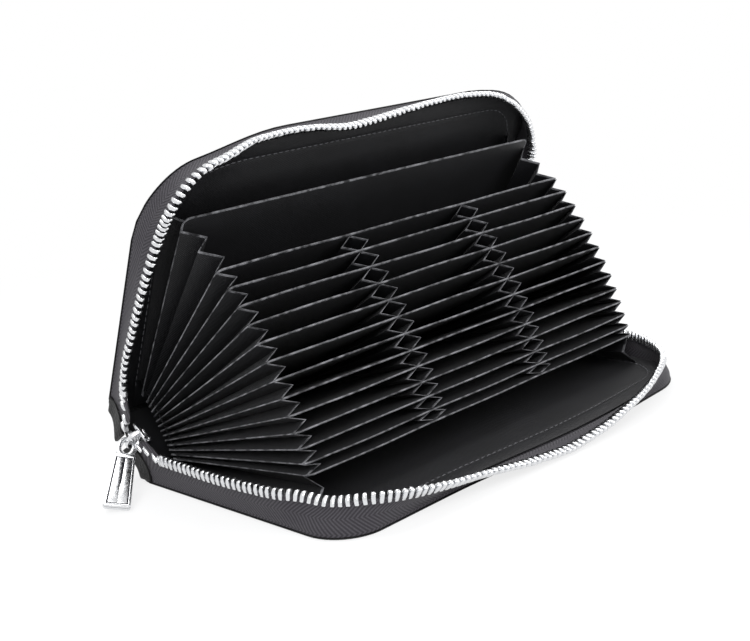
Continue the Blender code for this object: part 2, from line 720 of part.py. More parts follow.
def build():
    clear_scene()
    leather = material("black_leather", (0.012, 0.012, 0.013), 0.42)
    board = material("grey_board", (0.2, 0.19, 0.18), 0.9)
    lining = material("black_satin_lining", (0.017, 0.017, 0.019), 0.5)
    edge = material("grey_leaf_fabric", (0.035, 0.035, 0.038), 0.6)
    tape = material("grey_zip_tape", (0.07, 0.065, 0.075), 0.85)
    metal = material("chromed_zip_metal", (0.8, 0.8, 0.82), 0.18, 1)

    front = Body("front_cover", None, (0, 0, 0), 0)
    spine = Body("spine", front, (0, SPINE_Y, 0), -HALF_OPENING_ANGLE)
    rear = Body("rear_cover", spine, (0, SPINE_Y, CLOSED_THICKNESS), -HALF_OPENING_ANGLE)
    flap_axis = (0, FRONT_Y + TAPE_INSET, TAPE_LOW)
    flap = Body("front_zip_flap", front, flap_axis, FLAP_LEAN_ANGLE)
    leaves = []
    for number in range(LEAVES + 1):
        name = f"leaf_{number:02d}_body" if number else "divider_body"
        turn = HALF_OPENING_ANGLE - leaf_elevation(number)
        leaves.append(Body(name, spine, (0, LEAF_ROOT_Y, leaf_height(number)), turn))

    cover_layers("front", flat, front, leather, board, lining)
    cover_layers("rear", flat_rear, rear, leather, board, lining)
    spine_layers(spine, leather, lining)

    zip_half("front", flat, (front, flap, front), TOOTH_PITCH / 4, tape, metal)
    zip_half("rear", flat_rear, (rear, rear, rear), TOOTH_PITCH * 3 / 4, tape, metal)
    for side, place, body in (("front", flat, front), ("rear", flat_rear, rear)):
        top_stop(side, place, body, metal)
        far_tab(side, place, body, leather)
    near_tab("near_tab_front", -1, spine, leather)
    near_tab("near_tab_rear", 1, spine, leather)
    bottom_stop(spine, metal)

    slider = Body("slider", spine, tuple(SLIDER_ORIGIN), 0)
    slider_body(slider, metal)
    slider_bridge(slider, metal)
    pivot = Vector(slider_place(0, 0, BRIDGE_AXIS))
    puller_body = Body("puller_body", slider, tuple(pivot), 0)
    puller(puller_body, puller_body.to_rest @ pivot, metal)

    leaf("rear_bill_divider", 0, DIVIDER_LENGTH, leaves[0], edge)
    for number in range(1, LEAVES + 1):
        leaf(f"card_leaf_{number:02d}", number, LEAF_LENGTH, leaves[number], edge)

    end = LEAF_LENGTH - GUSSET_TOP_DROP
    for number in range(1, LEAVES):
        upper = leaf_face(leaves[number], number, -1)
        lower = leaf_face(leaves[number + 1], number + 1, 1)
        gusset(f"row_gusset_{number:02d}", leaves[number], upper, lower, 1, ROW_FOLD, COLUMNS, end, lining)
    divider_under = leaf_face(leaves[0], 0, -1)
    first_leaf_top = leaf_face(leaves[1], 1, 1)
    gusset("wide_pocket_gusset", leaves[0], divider_under, first_leaf_top, 2, WIDE_FOLD, 1, end, lining)
    rear_inside = Face(rear, LEAF_ROOT_Y, CLOSED_THICKNESS - COVER_STACK - CLEARANCE)
    divider_top = leaf_face(leaves[0], 0, 1)
    gusset("rear_bill_gusset", leaves[0], rear_inside, divider_top, 1, REAR_FOLD, 1, LINING_REACH, lining)
    last_leaf_under = leaf_face(leaves[LEAVES], LEAVES, -1)
    front_inside = Face(front, LEAF_ROOT_Y, COVER_STACK + CLEARANCE)
    last = leaves[LEAVES]
    gusset("front_bill_gusset", last, last_leaf_under, front_inside, 1, FRONT_FOLD, 1, LINING_REACH, lining)


build()
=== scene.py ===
"""The finish of a zip-around accordion card wallet that lies open in a V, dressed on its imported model.

Run it as a script. It registers an add-on with one operator for each piece or group of pieces, and runs them all.
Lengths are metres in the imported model's own frame: X along the spine, +Y to the spine, +Z up, the table at zero.
Outlines and other tables are in millimetres.
"""

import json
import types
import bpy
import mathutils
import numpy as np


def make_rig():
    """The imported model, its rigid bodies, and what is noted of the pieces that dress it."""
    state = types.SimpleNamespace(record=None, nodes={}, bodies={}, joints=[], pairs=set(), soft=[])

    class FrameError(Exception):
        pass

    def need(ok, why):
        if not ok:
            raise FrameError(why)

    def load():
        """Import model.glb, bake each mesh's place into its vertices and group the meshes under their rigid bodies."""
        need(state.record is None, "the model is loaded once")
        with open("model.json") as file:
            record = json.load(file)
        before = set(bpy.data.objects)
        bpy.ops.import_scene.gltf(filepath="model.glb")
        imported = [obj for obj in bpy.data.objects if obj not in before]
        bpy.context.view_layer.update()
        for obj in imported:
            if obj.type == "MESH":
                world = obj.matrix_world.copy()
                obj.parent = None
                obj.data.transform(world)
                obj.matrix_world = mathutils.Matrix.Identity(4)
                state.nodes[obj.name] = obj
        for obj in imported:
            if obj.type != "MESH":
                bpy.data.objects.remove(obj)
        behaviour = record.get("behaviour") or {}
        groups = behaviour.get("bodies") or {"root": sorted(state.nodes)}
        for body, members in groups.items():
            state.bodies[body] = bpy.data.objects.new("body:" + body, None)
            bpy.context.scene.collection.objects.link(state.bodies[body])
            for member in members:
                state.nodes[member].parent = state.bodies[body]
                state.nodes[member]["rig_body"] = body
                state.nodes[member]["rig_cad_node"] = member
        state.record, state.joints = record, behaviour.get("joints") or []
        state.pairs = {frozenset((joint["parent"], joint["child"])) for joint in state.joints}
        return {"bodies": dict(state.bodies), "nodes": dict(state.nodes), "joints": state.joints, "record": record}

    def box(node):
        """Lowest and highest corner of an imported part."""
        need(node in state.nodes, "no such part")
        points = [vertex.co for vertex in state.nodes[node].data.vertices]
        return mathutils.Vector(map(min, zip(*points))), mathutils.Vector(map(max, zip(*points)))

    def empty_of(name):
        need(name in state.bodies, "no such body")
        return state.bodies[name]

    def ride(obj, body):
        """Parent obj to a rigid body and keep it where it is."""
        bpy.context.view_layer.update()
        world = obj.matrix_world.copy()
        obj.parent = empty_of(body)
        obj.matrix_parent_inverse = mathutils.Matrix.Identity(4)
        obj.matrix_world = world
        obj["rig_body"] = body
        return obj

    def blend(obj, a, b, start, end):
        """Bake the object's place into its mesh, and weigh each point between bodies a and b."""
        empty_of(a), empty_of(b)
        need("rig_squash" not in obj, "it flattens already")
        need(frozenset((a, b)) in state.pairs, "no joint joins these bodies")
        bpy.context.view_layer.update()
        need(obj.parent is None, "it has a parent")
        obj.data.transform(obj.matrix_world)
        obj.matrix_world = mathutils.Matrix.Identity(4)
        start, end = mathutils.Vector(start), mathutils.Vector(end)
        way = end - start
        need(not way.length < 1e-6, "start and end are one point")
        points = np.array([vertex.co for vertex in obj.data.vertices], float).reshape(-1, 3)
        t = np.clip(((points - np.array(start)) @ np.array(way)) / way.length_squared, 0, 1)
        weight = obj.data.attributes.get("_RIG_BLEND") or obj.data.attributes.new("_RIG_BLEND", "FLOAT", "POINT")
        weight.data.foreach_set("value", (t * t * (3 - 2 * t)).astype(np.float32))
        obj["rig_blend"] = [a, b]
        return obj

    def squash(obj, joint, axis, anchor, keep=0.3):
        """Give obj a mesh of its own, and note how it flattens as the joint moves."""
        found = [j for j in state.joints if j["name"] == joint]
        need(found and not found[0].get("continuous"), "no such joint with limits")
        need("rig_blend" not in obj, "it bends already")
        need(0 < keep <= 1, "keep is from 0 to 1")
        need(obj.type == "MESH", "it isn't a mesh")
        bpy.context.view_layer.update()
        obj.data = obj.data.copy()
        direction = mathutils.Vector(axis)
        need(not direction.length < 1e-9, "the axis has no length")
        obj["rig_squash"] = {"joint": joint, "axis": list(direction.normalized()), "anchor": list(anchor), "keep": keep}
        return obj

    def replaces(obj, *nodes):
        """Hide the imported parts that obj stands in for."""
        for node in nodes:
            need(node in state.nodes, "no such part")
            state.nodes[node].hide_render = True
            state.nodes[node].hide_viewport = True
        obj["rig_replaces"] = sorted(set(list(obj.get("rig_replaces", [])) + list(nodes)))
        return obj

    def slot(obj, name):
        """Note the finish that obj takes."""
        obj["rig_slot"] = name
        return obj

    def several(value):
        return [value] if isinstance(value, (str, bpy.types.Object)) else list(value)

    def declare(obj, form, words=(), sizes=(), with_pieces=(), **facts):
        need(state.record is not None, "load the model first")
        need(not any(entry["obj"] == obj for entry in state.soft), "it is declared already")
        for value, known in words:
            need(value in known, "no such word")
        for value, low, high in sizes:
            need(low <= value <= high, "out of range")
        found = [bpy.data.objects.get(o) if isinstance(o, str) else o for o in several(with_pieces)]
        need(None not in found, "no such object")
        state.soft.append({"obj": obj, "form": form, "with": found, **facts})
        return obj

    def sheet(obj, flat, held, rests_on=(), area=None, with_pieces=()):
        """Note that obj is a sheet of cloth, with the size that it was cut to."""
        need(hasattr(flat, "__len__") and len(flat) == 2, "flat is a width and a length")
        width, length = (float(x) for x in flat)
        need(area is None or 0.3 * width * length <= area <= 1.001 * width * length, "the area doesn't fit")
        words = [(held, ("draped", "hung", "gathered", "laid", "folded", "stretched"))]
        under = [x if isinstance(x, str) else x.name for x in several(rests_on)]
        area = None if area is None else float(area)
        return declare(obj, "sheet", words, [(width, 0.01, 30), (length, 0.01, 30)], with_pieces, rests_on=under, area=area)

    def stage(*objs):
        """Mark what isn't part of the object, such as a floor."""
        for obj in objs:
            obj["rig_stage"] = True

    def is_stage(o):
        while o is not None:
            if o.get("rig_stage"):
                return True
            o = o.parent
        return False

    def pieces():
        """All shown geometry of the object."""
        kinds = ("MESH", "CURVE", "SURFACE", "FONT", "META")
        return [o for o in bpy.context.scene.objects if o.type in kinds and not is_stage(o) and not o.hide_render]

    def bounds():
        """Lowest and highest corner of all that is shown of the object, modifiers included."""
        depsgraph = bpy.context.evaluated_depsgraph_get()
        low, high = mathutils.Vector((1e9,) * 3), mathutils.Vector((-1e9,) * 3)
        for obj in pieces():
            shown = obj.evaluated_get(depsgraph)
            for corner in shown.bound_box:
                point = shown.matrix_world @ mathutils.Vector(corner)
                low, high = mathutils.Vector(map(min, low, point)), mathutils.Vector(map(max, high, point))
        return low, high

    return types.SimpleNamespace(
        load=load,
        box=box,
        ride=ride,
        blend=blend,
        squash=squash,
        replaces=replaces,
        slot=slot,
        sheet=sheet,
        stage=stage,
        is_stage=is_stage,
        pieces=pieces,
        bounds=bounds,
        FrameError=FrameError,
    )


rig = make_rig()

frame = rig.load()

import json
import math
import random

import bmesh
import bpy
from bpy.props import FloatProperty, FloatVectorProperty, IntProperty, PointerProperty
from bpy.types import Operator, Panel, PropertyGroup
from mathutils import Matrix, Vector

bl_info = {
    "name": "Zip Wallet",
    "version": (1, 0, 0),
    "blender": (4, 5, 0),
    "location": "3D View > Sidebar > Wallet",
    "description": "Builds an accordion card wallet with a metal zip, piece by piece",
    "category": "Add Mesh",
}

CAD_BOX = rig.bounds()
SIZE_FILE = "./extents.json"
MM = 0.001

JOINTS = {joint["name"]: joint for joint in frame["joints"]}
RATIOS = {coupling["joint"]: coupling["ratio"] for coupling in frame["record"]["behaviour"]["couplings"]}
HALF_OPENING = math.radians(JOINTS["cover_opening"]["range_deg"][1])


# Numbers

def metres(table):
    """A table of millimetres in metres."""
    return [tuple(value * MM for value in row) for row in table]


def mirrored(half):
    """A closed outline from one half of it, which its other half mirrors."""
    return list(half) + [(u, -v) for u, v in reversed(half)]


def smoothstep(value, start=0.0, end=1.0):
    share = min(1.0, max(0.0, (value - start) / (end - start)))
    return share * share * (3 - 2 * share)


def steps(start, end, count):
    return [start + (end - start) * step / count for step in range(count + 1)]


def arc(centre, radius, start, end, count=12):
    return [(centre[0] + radius * math.cos(turn), centre[1] + radius * math.sin(turn))
            for turn in steps(math.radians(start), math.radians(end), count)]


def oval(width, height, sides, squareness=1.0):
    """Points round an oval; squareness below 1 fills its corners."""
    found = []
    for turn in steps(0, 2 * math.pi, sides)[:-1]:
        c, s = math.cos(turn), math.sin(turn)
        found.append((width / 2 * math.copysign(abs(c) ** squareness, c),
                      height / 2 * math.copysign(abs(s) ** squareness, s)))
    return found


# Places on the frame

class Place:
    """A flat frame on a joint's axis: out runs away from the axis, and up stands off it, to one side."""

    def __init__(self, joint, elevation, side=1):
        self.origin = Vector(JOINTS[joint]["pos_m"])
        self.side = side
        self.out = Vector((0, -math.cos(elevation), math.sin(elevation)))
        self.up = Vector((0, math.sin(elevation), math.cos(elevation))) * side

    def at(self, x, out, up):
        point = self.origin + self.out * out + self.up * up
        return Vector((x, point.y, point.z))

    def reach(self, name):
        """How far a node of the frame reaches out from this axis."""
        return max((vertex.co - self.origin).dot(self.out) for vertex in frame["nodes"][name].data.vertices)


DIP_ACROSS, DIP_PULL = 32 * MM, 0.3  # how far a dip reaches in from the long edge, and how much it draws that in
BOW_START, BOW_LENGTH = 45 * MM, 150 * MM  # where the long edge begins to bow, and over what length
BOW_RISE = (40 * MM, 100 * MM)  # the distances from the spine between which the bow comes to its full size


class Cover(Place):
    """A cover's place. Its outer corners dip into the wallet and its long edge bows out, as soft leather does.

    dips gives the length along the spine and the depth of the dip at the near and at the far corner.
    """

    def __init__(self, joint, elevation, side, dips, bow):
        super().__init__(joint, elevation, side)
        self.dips, self.bow = metres(dips), bow * MM

    def at(self, x, out, up):
        for corner, (along, depth) in zip((NEAR_X, FAR_X), self.dips):
            inside = max(0.0, (x - corner) if corner < 0 else (corner - x))
            dip = depth * (1 - smoothstep(inside / along + max(0.0, COVER_WIDTH - out) / DIP_ACROSS))
            out -= DIP_PULL * dip
            up += dip
        share = min(1.0, max(0.0, (x - NEAR_X - BOW_START) / BOW_LENGTH))
        swell = self.bow * math.sin(math.pi * share) ** 2 * smoothstep(out, *BOW_RISE)
        return super().at(x, out + swell, up)


def fold_place(joint):
    """The place of a leaf or of the divider, from the joint that it swings on."""
    return Place(joint, HALF_OPENING * (1 + RATIOS[joint]))


FRONT = Cover("cover_opening", 0, 1, ((60, 0), (40, 0)), 3.5)
REAR = Cover("rear_cover_fold", 2 * HALF_OPENING, -1, ((60, 8), (40, 6)), 0)
COVERS = {"front": FRONT, "rear": REAR}
SPINE = Place("cover_opening", HALF_OPENING)
THICKNESS = (REAR.origin - FRONT.origin).length
LEAF_NODES = sorted(name for name in frame["nodes"] if name.startswith("card_leaf"))
LEAVES = [fold_place(f"leaf_{number + 1:02d}_fold") for number in range(len(LEAF_NODES))]
DIVIDER = fold_place("divider_fold")

SHELL_LOW, SHELL_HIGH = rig.box("front_cover_leather")
NEAR_X, FAR_X, LEATHER = SHELL_LOW.x, SHELL_HIGH.x, SHELL_HIGH.z
COVER_WIDTH = SHELL_HIGH.y - SHELL_LOW.y
LINING_LOW, LINING_HIGH = (corner.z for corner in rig.box("front_cover_lining"))
TAPE_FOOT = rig.box("front_zip_tape_near")[0].z
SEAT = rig.box("front_zip_teeth_near")[0].z - TAPE_FOOT  # the height of the teeth's feet on the tape
LEAF_NEAR_X, LEAF_FAR_X = (corner.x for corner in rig.box(LEAF_NODES[0]))


# Sizes and colours that a user may change

def linear(code):
    """A colour for a shader, from its sRGB hex code."""
    values = [int(code[i:i + 2], 16) / 255 for i in (1, 3, 5)]
    return tuple(v / 12.92 if v <= 0.04045 else ((v + 0.055) / 1.055) ** 2.4 for v in values)


def length(name, description, millimetres):
    return FloatProperty(name=name, description=description, default=millimetres * MM, unit="LENGTH", precision=4)


def angle(name, description, degrees):
    return FloatProperty(name=name, description=description, default=math.radians(degrees), subtype="ANGLE")


def colour(name, description, code):
    return FloatVectorProperty(name=name, description=description, default=linear(code), size=3, subtype="COLOR")


class WalletSizes(PropertyGroup):
    corner: length("Near corner radius", "Radius of a cover's outer corner at the slider's end", 16)
    far_corner: length("Far corner radius", "Radius of a cover's outer corner at the zip's far end", 26)
    fold: length("Spine fold", "How far the leather's bend reaches from each edge of the spine", 6)
    spine_waist: length("Spine waist", "How far the skin is drawn in at the spine's two ends", 3)
    zip_inset: length("Zip inset", "From a cover's edge to the line that its zip is sewn along", 1.1)
    tape: length("Tape thickness", "Thickness of the woven zip tape", 0.6)
    tape_bulge: length("Tape bulge", "How far the tape swells outwards at its foot", 0.45)
    tooth_pitch: length("Tooth pitch", "Distance between the teeth of one row", 2.5)
    tooth_width: length("Tooth width", "Size of a tooth along the zip", 1.4)
    tape_bend: length("Tape bend", "Height over which the tape bends at its foot", 2)
    gather: length("Gather", "Distance over which the tapes part from the slider to their covers", 15.7)
    front_lean: angle("Front lean", "Outward lean of the front tape in the middle of its long side", 88)
    leaf: length("Leaf thickness", "Thickness of a stiff fabric wall", 0.7)
    leaf_corner: length("Leaf corner radius", "Radius of a leaf's outer corners", 3)
    root_cut: length("Root cut", "How far the leaves' corners are cut away beside the spine", 9)
    columns: IntProperty(name="Columns", description="Card pockets side by side in each row", default=3, min=1)
    gusset: length("Gusset thickness", "Thickness of the folded lining between two leaves", 0.28)
    gusset_start: length("Pocket bottom", "From a leaf's axis to the bottom of its pocket", 9.5)
    row_fold: length("Row fold", "Depth of the fold at each end of a card pocket", 6)
    stitch_pitch: length("Stitch pitch", "Distance from stitch to stitch", 2.7)
    slider_turn: angle("Slider turn", "How far the slider is pulled round towards the rear cover", 18)
    puller_length: length("Puller length", "From the puller's axis to its end", 28.5)
    puller_swing: angle("Puller swing", "How far the puller hangs down", 47.5)
    puller_tilt: angle("Puller tilt", "How far the puller leans along the zip", 14.4)
    puller_roll: angle("Puller roll", "How far the puller is twisted about its length", -26)


class WalletColours(PropertyGroup):
    leather: colour("Leather", "Full-grain black leather", "#0a0a0b")
    # Painted highlight: the grain's tops are coloured lighter for the gloss that they catch
    leather_highlight: colour("Leather high spots", "Polished tops of the leather's grain", "#151516")
    satin: colour("Lining", "Black satin lining", "#101012")
    # Painted highlight: the satin's ribs and broad patches of it are coloured lighter for its sheen
    satin_high: colour("Lining highlights", "Raised threads of the satin lining", "#1a1a1d")
    # Painted highlight: the folded edges of the leaves are coloured grey for the light that the folds catch
    edge: colour("Leaf edge", "Grey folded edge of each leaf", "#7c7c7f")
    tape: colour("Tape", "Ground of the zip tape", "#272529")
    # Painted highlight: the tape's raised ribs are coloured lighter for the light that they catch
    tape_high: colour("Tape highlights", "Raised ribs of the zip tape", "#49464b")
    chrome: colour("Chrome", "Bright plated zinc", "#e6e7e9")
    # Painted shade: the plate in the puller's grooves is coloured darker for the shadow that falls there
    recess: colour("Recess", "Darkened plate in the puller's grooves", "#34343a")
    # Painted highlight: the black thread is coloured grey for its dull shine
    thread: colour("Thread", "Sewing thread", "#6a6a6e")
    floor: colour("Floor", "Pale studio floor", "#f8f8f8")


def sizes():
    return bpy.context.scene.wallet_sizes


def colours():
    return bpy.context.scene.wallet_colours


# Materials

def wired(tree, made, inputs):
    """Sets or links a node's inputs, by key or in their order. A node as a value stands for its first output."""
    for key, value in inputs.items() if isinstance(inputs, dict) else enumerate(inputs):
        if isinstance(value, bpy.types.Node):
            value = value.outputs[0]
        if isinstance(value, bpy.types.NodeSocket):
            tree.links.new(value, made.inputs[key])
        else:
            made.inputs[key].default_value = value
    return made


def node(tree, kind, inputs=(), **settings):
    """Adds a node with its settings and links."""
    made = tree.nodes.new(kind)
    for key, value in settings.items():
        setattr(made, key, value)
    return wired(tree, made, inputs)


def new_material(name, plain):
    """A material with its tree and shader; plain holds what is the same all over the surface."""
    made = bpy.data.materials.new(name)
    made.use_nodes = True
    return made, made.node_tree, wired(made.node_tree, made.node_tree.nodes["Principled BSDF"], plain)


def coloured(tree, shader, share, low, high, relief=None, depth=0.0):
    """Colours a surface between two colours by a share, and raises it by a relief."""
    shade = node(tree, "ShaderNodeMix", {"Factor": share, 6: (*low, 1.0), 7: (*high, 1.0)}, data_type="RGBA")
    wired(tree, shader, {"Base Color": shade.outputs[2]})
    if depth:
        wired(tree, shader, {"Normal": node(tree, "ShaderNodeBump", {"Height": relief, "Distance": depth})})


def twill_wave(tree, run, rib):
    """Ribs across a run over the cloth, from -1 in a furrow to 1 on a rib."""
    turned = node(tree, "ShaderNodeMath", (run, 2 * math.pi / rib), operation="MULTIPLY")
    return node(tree, "ShaderNodeMath", (turned,), operation="SINE")


def leather_material():
    """Full-grain cowhide, drum-dyed black and lightly glazed: a pebbled grain whose tops catch a soft gloss, which is
    also painted on them as a lighter colour.
    """
    made, tree, shader = new_material(
        "pebbled_black_cowhide", {"Specular IOR Level": 0.14, "Coat Weight": 0.04, "Coat Roughness": 0.3})
    place = node(tree, "ShaderNodeTexCoord").outputs["Object"]
    pebble, blotch = 0.95 * MM, 22 * MM
    wander = node(tree, "ShaderNodeTexNoise", {"Vector": place, "Scale": 0.5 / pebble, "Detail": 3.0})
    bent = node(tree, "ShaderNodeVectorMath", (wander.outputs["Color"], (pebble,) * 3), operation="MULTIPLY")
    moved = node(tree, "ShaderNodeVectorMath", (place, bent))
    cells = node(tree, "ShaderNodeTexVoronoi", {"Vector": moved, "Scale": 1 / pebble})
    broad = node(tree, "ShaderNodeTexNoise", {"Vector": place, "Scale": 1 / blotch, "Detail": 4.0})
    tops = node(tree, "ShaderNodeMapRange", (cells, 0.55, 0.1))
    tone = node(tree, "ShaderNodeMath", (tops, broad), operation="MULTIPLY")
    wired(tree, shader, {"Roughness": node(tree, "ShaderNodeMapRange", (broad, 0.3, 0.7, 0.36, 0.5))})
    # Painted highlight on the grain's tops, mottled by a broad random tone
    coloured(tree, shader, tone, colours().leather, colours().leather_highlight, tops, 0.11 * MM)
    return made


def satin_material(name="black_satin", rib=0.55 * MM, wrinkle=0.0):
    """Polyester satin twill, piece-dyed black: fine slanting ribs that catch a low sheen. The ribs and broad patches of
    the cloth are coloured lighter as painted highlight and painted sheen.

    The real ribs are too fine to show, so they are drawn at half a millimetre or more.
    """
    made, tree, shader = new_material(
        name, {"Specular IOR Level": 0.3, "Sheen Weight": 0.04, "Sheen Roughness": 0.4})
    cloth = node(tree, "ShaderNodeAttribute", attribute_name="cloth").outputs["Vector"]
    parts = node(tree, "ShaderNodeSeparateXYZ", (cloth,)).outputs
    wave = twill_wave(tree, node(tree, "ShaderNodeMath", (parts[0], parts[1])), rib)
    crease_length, crease_width, blotch = 25 / 3 * MM, 10 / 9 * MM, 14 * MM
    crease = node(tree, "ShaderNodeMapping", {"Vector": cloth, "Scale": (1 / crease_length, 1 / crease_width, 1)})
    folds = node(tree, "ShaderNodeTexNoise", {"Vector": crease, "Scale": 1.0, "Detail": 3.0})
    broad = node(tree, "ShaderNodeTexNoise", {"Vector": cloth, "Scale": 1 / blotch, "Detail": 3.0})
    # Painted sheen in broad patches, with the ribs painted lighter as highlights on top of it
    lit = node(tree, "ShaderNodeMapRange", (broad, 0.35, 0.7, 0.0, 0.6))
    rows = node(tree, "ShaderNodeMath", (wave, 0.3, lit), operation="MULTIPLY_ADD")
    relief = node(tree, "ShaderNodeMath", (folds, wrinkle, wave), operation="MULTIPLY_ADD")
    coloured(tree, shader, rows, colours().satin, colours().satin_high, relief, 0.03 * MM)
    return made


def tape_material():
    """Woven polyester zip tape in herringbone twill: matt ribs that change slant every few millimetres, coloured
    lighter on their tops as a painted highlight.

    The real ribs are too fine to show, so they are drawn one and a half millimetres apart.
    """
    made, tree, shader = new_material(
        "herringbone_zip_tape", {"Roughness": 0.78, "Specular IOR Level": 0.25, "Sheen Weight": 0.1})
    rib, stripe, slope, fibre = 1.5 * MM, 4.4 * MM, 1.15, 0.5 * MM
    cloth = node(tree, "ShaderNodeAttribute", attribute_name="cloth").outputs["Vector"]
    parts = node(tree, "ShaderNodeSeparateXYZ", (cloth,)).outputs
    zigzag = node(tree, "ShaderNodeMath", (parts[1], stripe), operation="PINGPONG")
    slant = node(tree, "ShaderNodeMath", (zigzag, slope, parts[0]), operation="MULTIPLY_ADD")
    ribs = node(tree, "ShaderNodeMapRange", (twill_wave(tree, slant, rib), -1.0))
    threads = node(tree, "ShaderNodeTexNoise", {"Vector": cloth, "Scale": 1 / fibre, "Detail": 3.0})
    worn = node(tree, "ShaderNodeMapRange", (threads, 0.3, 0.7, 0.55))
    # Painted highlight on the raised ribs, mottled by the fibres' random tone
    tone = node(tree, "ShaderNodeMath", (ribs, worn), operation="MULTIPLY")
    coloured(tree, shader, tone, colours().tape, colours().tape_high, ribs, 0.09 * MM)
    return made


def chrome_material(name="bright_chrome_plate", roughness=0.2, brush=0.0):
    """Die-cast zinc with polished chrome plate: sharp bright and dark reflections, faintly hazed by handling."""
    made, tree, shader = new_material(name, {"Metallic": 1.0})
    smudge, stroke, line, dulled = 1.6 * MM, 10 / 9 * MM, MM / 9, 0.86
    place = node(tree, "ShaderNodeTexCoord").outputs["Object"]
    haze = node(tree, "ShaderNodeTexNoise", {"Vector": place, "Scale": 1 / smudge, "Detail": 4.0})
    rough = node(tree, "ShaderNodeMapRange", (haze, 0.3, 0.7, roughness * 0.7, roughness * 1.4))
    wired(tree, shader, {"Roughness": rough})
    fine = None
    if brush:
        drawn = node(tree, "ShaderNodeAttribute", attribute_name="cloth").outputs["Vector"]
        lines = node(tree, "ShaderNodeMapping", {"Vector": drawn, "Scale": (1 / stroke, 1 / line, 1)})
        fine = node(tree, "ShaderNodeTexNoise", {"Vector": lines, "Scale": 1.0})
    coloured(tree, shader, haze, [v * dulled for v in colours().chrome], colours().chrome, fine, brush)
    return made


def mottled_material(name, plain, grain, detail, low, high, depth, spread=None):
    """A finish whose colour and relief follow one noise. grain and depth are its size in millimetres.

    spread gives the two levels of the noise between which the colour turns, where that is less than all of it.
    """
    made, tree, shader = new_material(name, plain)
    place = node(tree, "ShaderNodeTexCoord").outputs["Object"]
    marks = node(tree, "ShaderNodeTexNoise", {"Vector": place, "Scale": 1 / (grain * MM), "Detail": detail})
    share = node(tree, "ShaderNodeMapRange", (marks, *spread)) if spread else marks
    coloured(tree, shader, share, low, high, marks, depth * MM)
    return made


MAKERS = {
    "leather": leather_material,
    "satin": satin_material,
    # The same satin in folds: coarser ribs, with fine creases across them
    "pleat": lambda: satin_material("creased_black_satin", 0.7 * MM, 2.2),
    # The same fabric where it is folded over a leaf's core: its edge is coloured grey as a painted highlight
    "edge": lambda: mottled_material("rubbed_fold_edge", {"Roughness": 0.55, "Specular IOR Level": 0.4}, 3, 4.0,
                                     colours().satin_high, colours().edge, 0.05, (0.35, 0.65)),
    "tape": tape_material,
    "chrome": chrome_material,
    # The same plate brushed along the puller: a softer shine with fine drawn lines
    "puller_metal": lambda: chrome_material("brushed_chrome_plate", 0.24, 0.012 * MM),
    # The same zinc in the puller's sunk grooves, duller, and coloured darker as painted shade for the shadow that falls
    # there
    "recess": lambda: mottled_material("darkened_zinc_recess", {"Metallic": 1.0}, 1.2, 4.0,
                                       [v * 0.5 for v in colours().recess], colours().recess, 0.03),
    # Bonded nylon sewing thread, black, with its dull shine painted on as a grey highlight
    "thread": lambda: mottled_material("bonded_nylon_thread", {"Specular IOR Level": 0.4}, 0.4, 2.0,
                                       colours().satin_high, colours().thread, 0.04),
    # Grey pressed bookbinder's board: matt, mottled with fibres
    "board": lambda: mottled_material("pressed_grey_board", {"Roughness": 0.9, "Specular IOR Level": 0.2}, 0.8, 5.0,
                                      linear("#77736c"), linear("#a09b92"), 0.05),
}
MADE = {}


def finish_of(name):
    if name not in MADE:
        MADE[name] = MAKERS[name]()
    return MADE[name]


# Mesh helpers

def placed(name, data):
    """A new object in the scene."""
    made = bpy.data.objects.new(name, data)
    bpy.context.scene.collection.objects.link(made)
    return made


def softened(mesh, degrees):
    """Shades a mesh smooth up to an angle."""
    mesh.shade_smooth()
    mesh.set_sharp_from_angle(angle=math.radians(degrees))


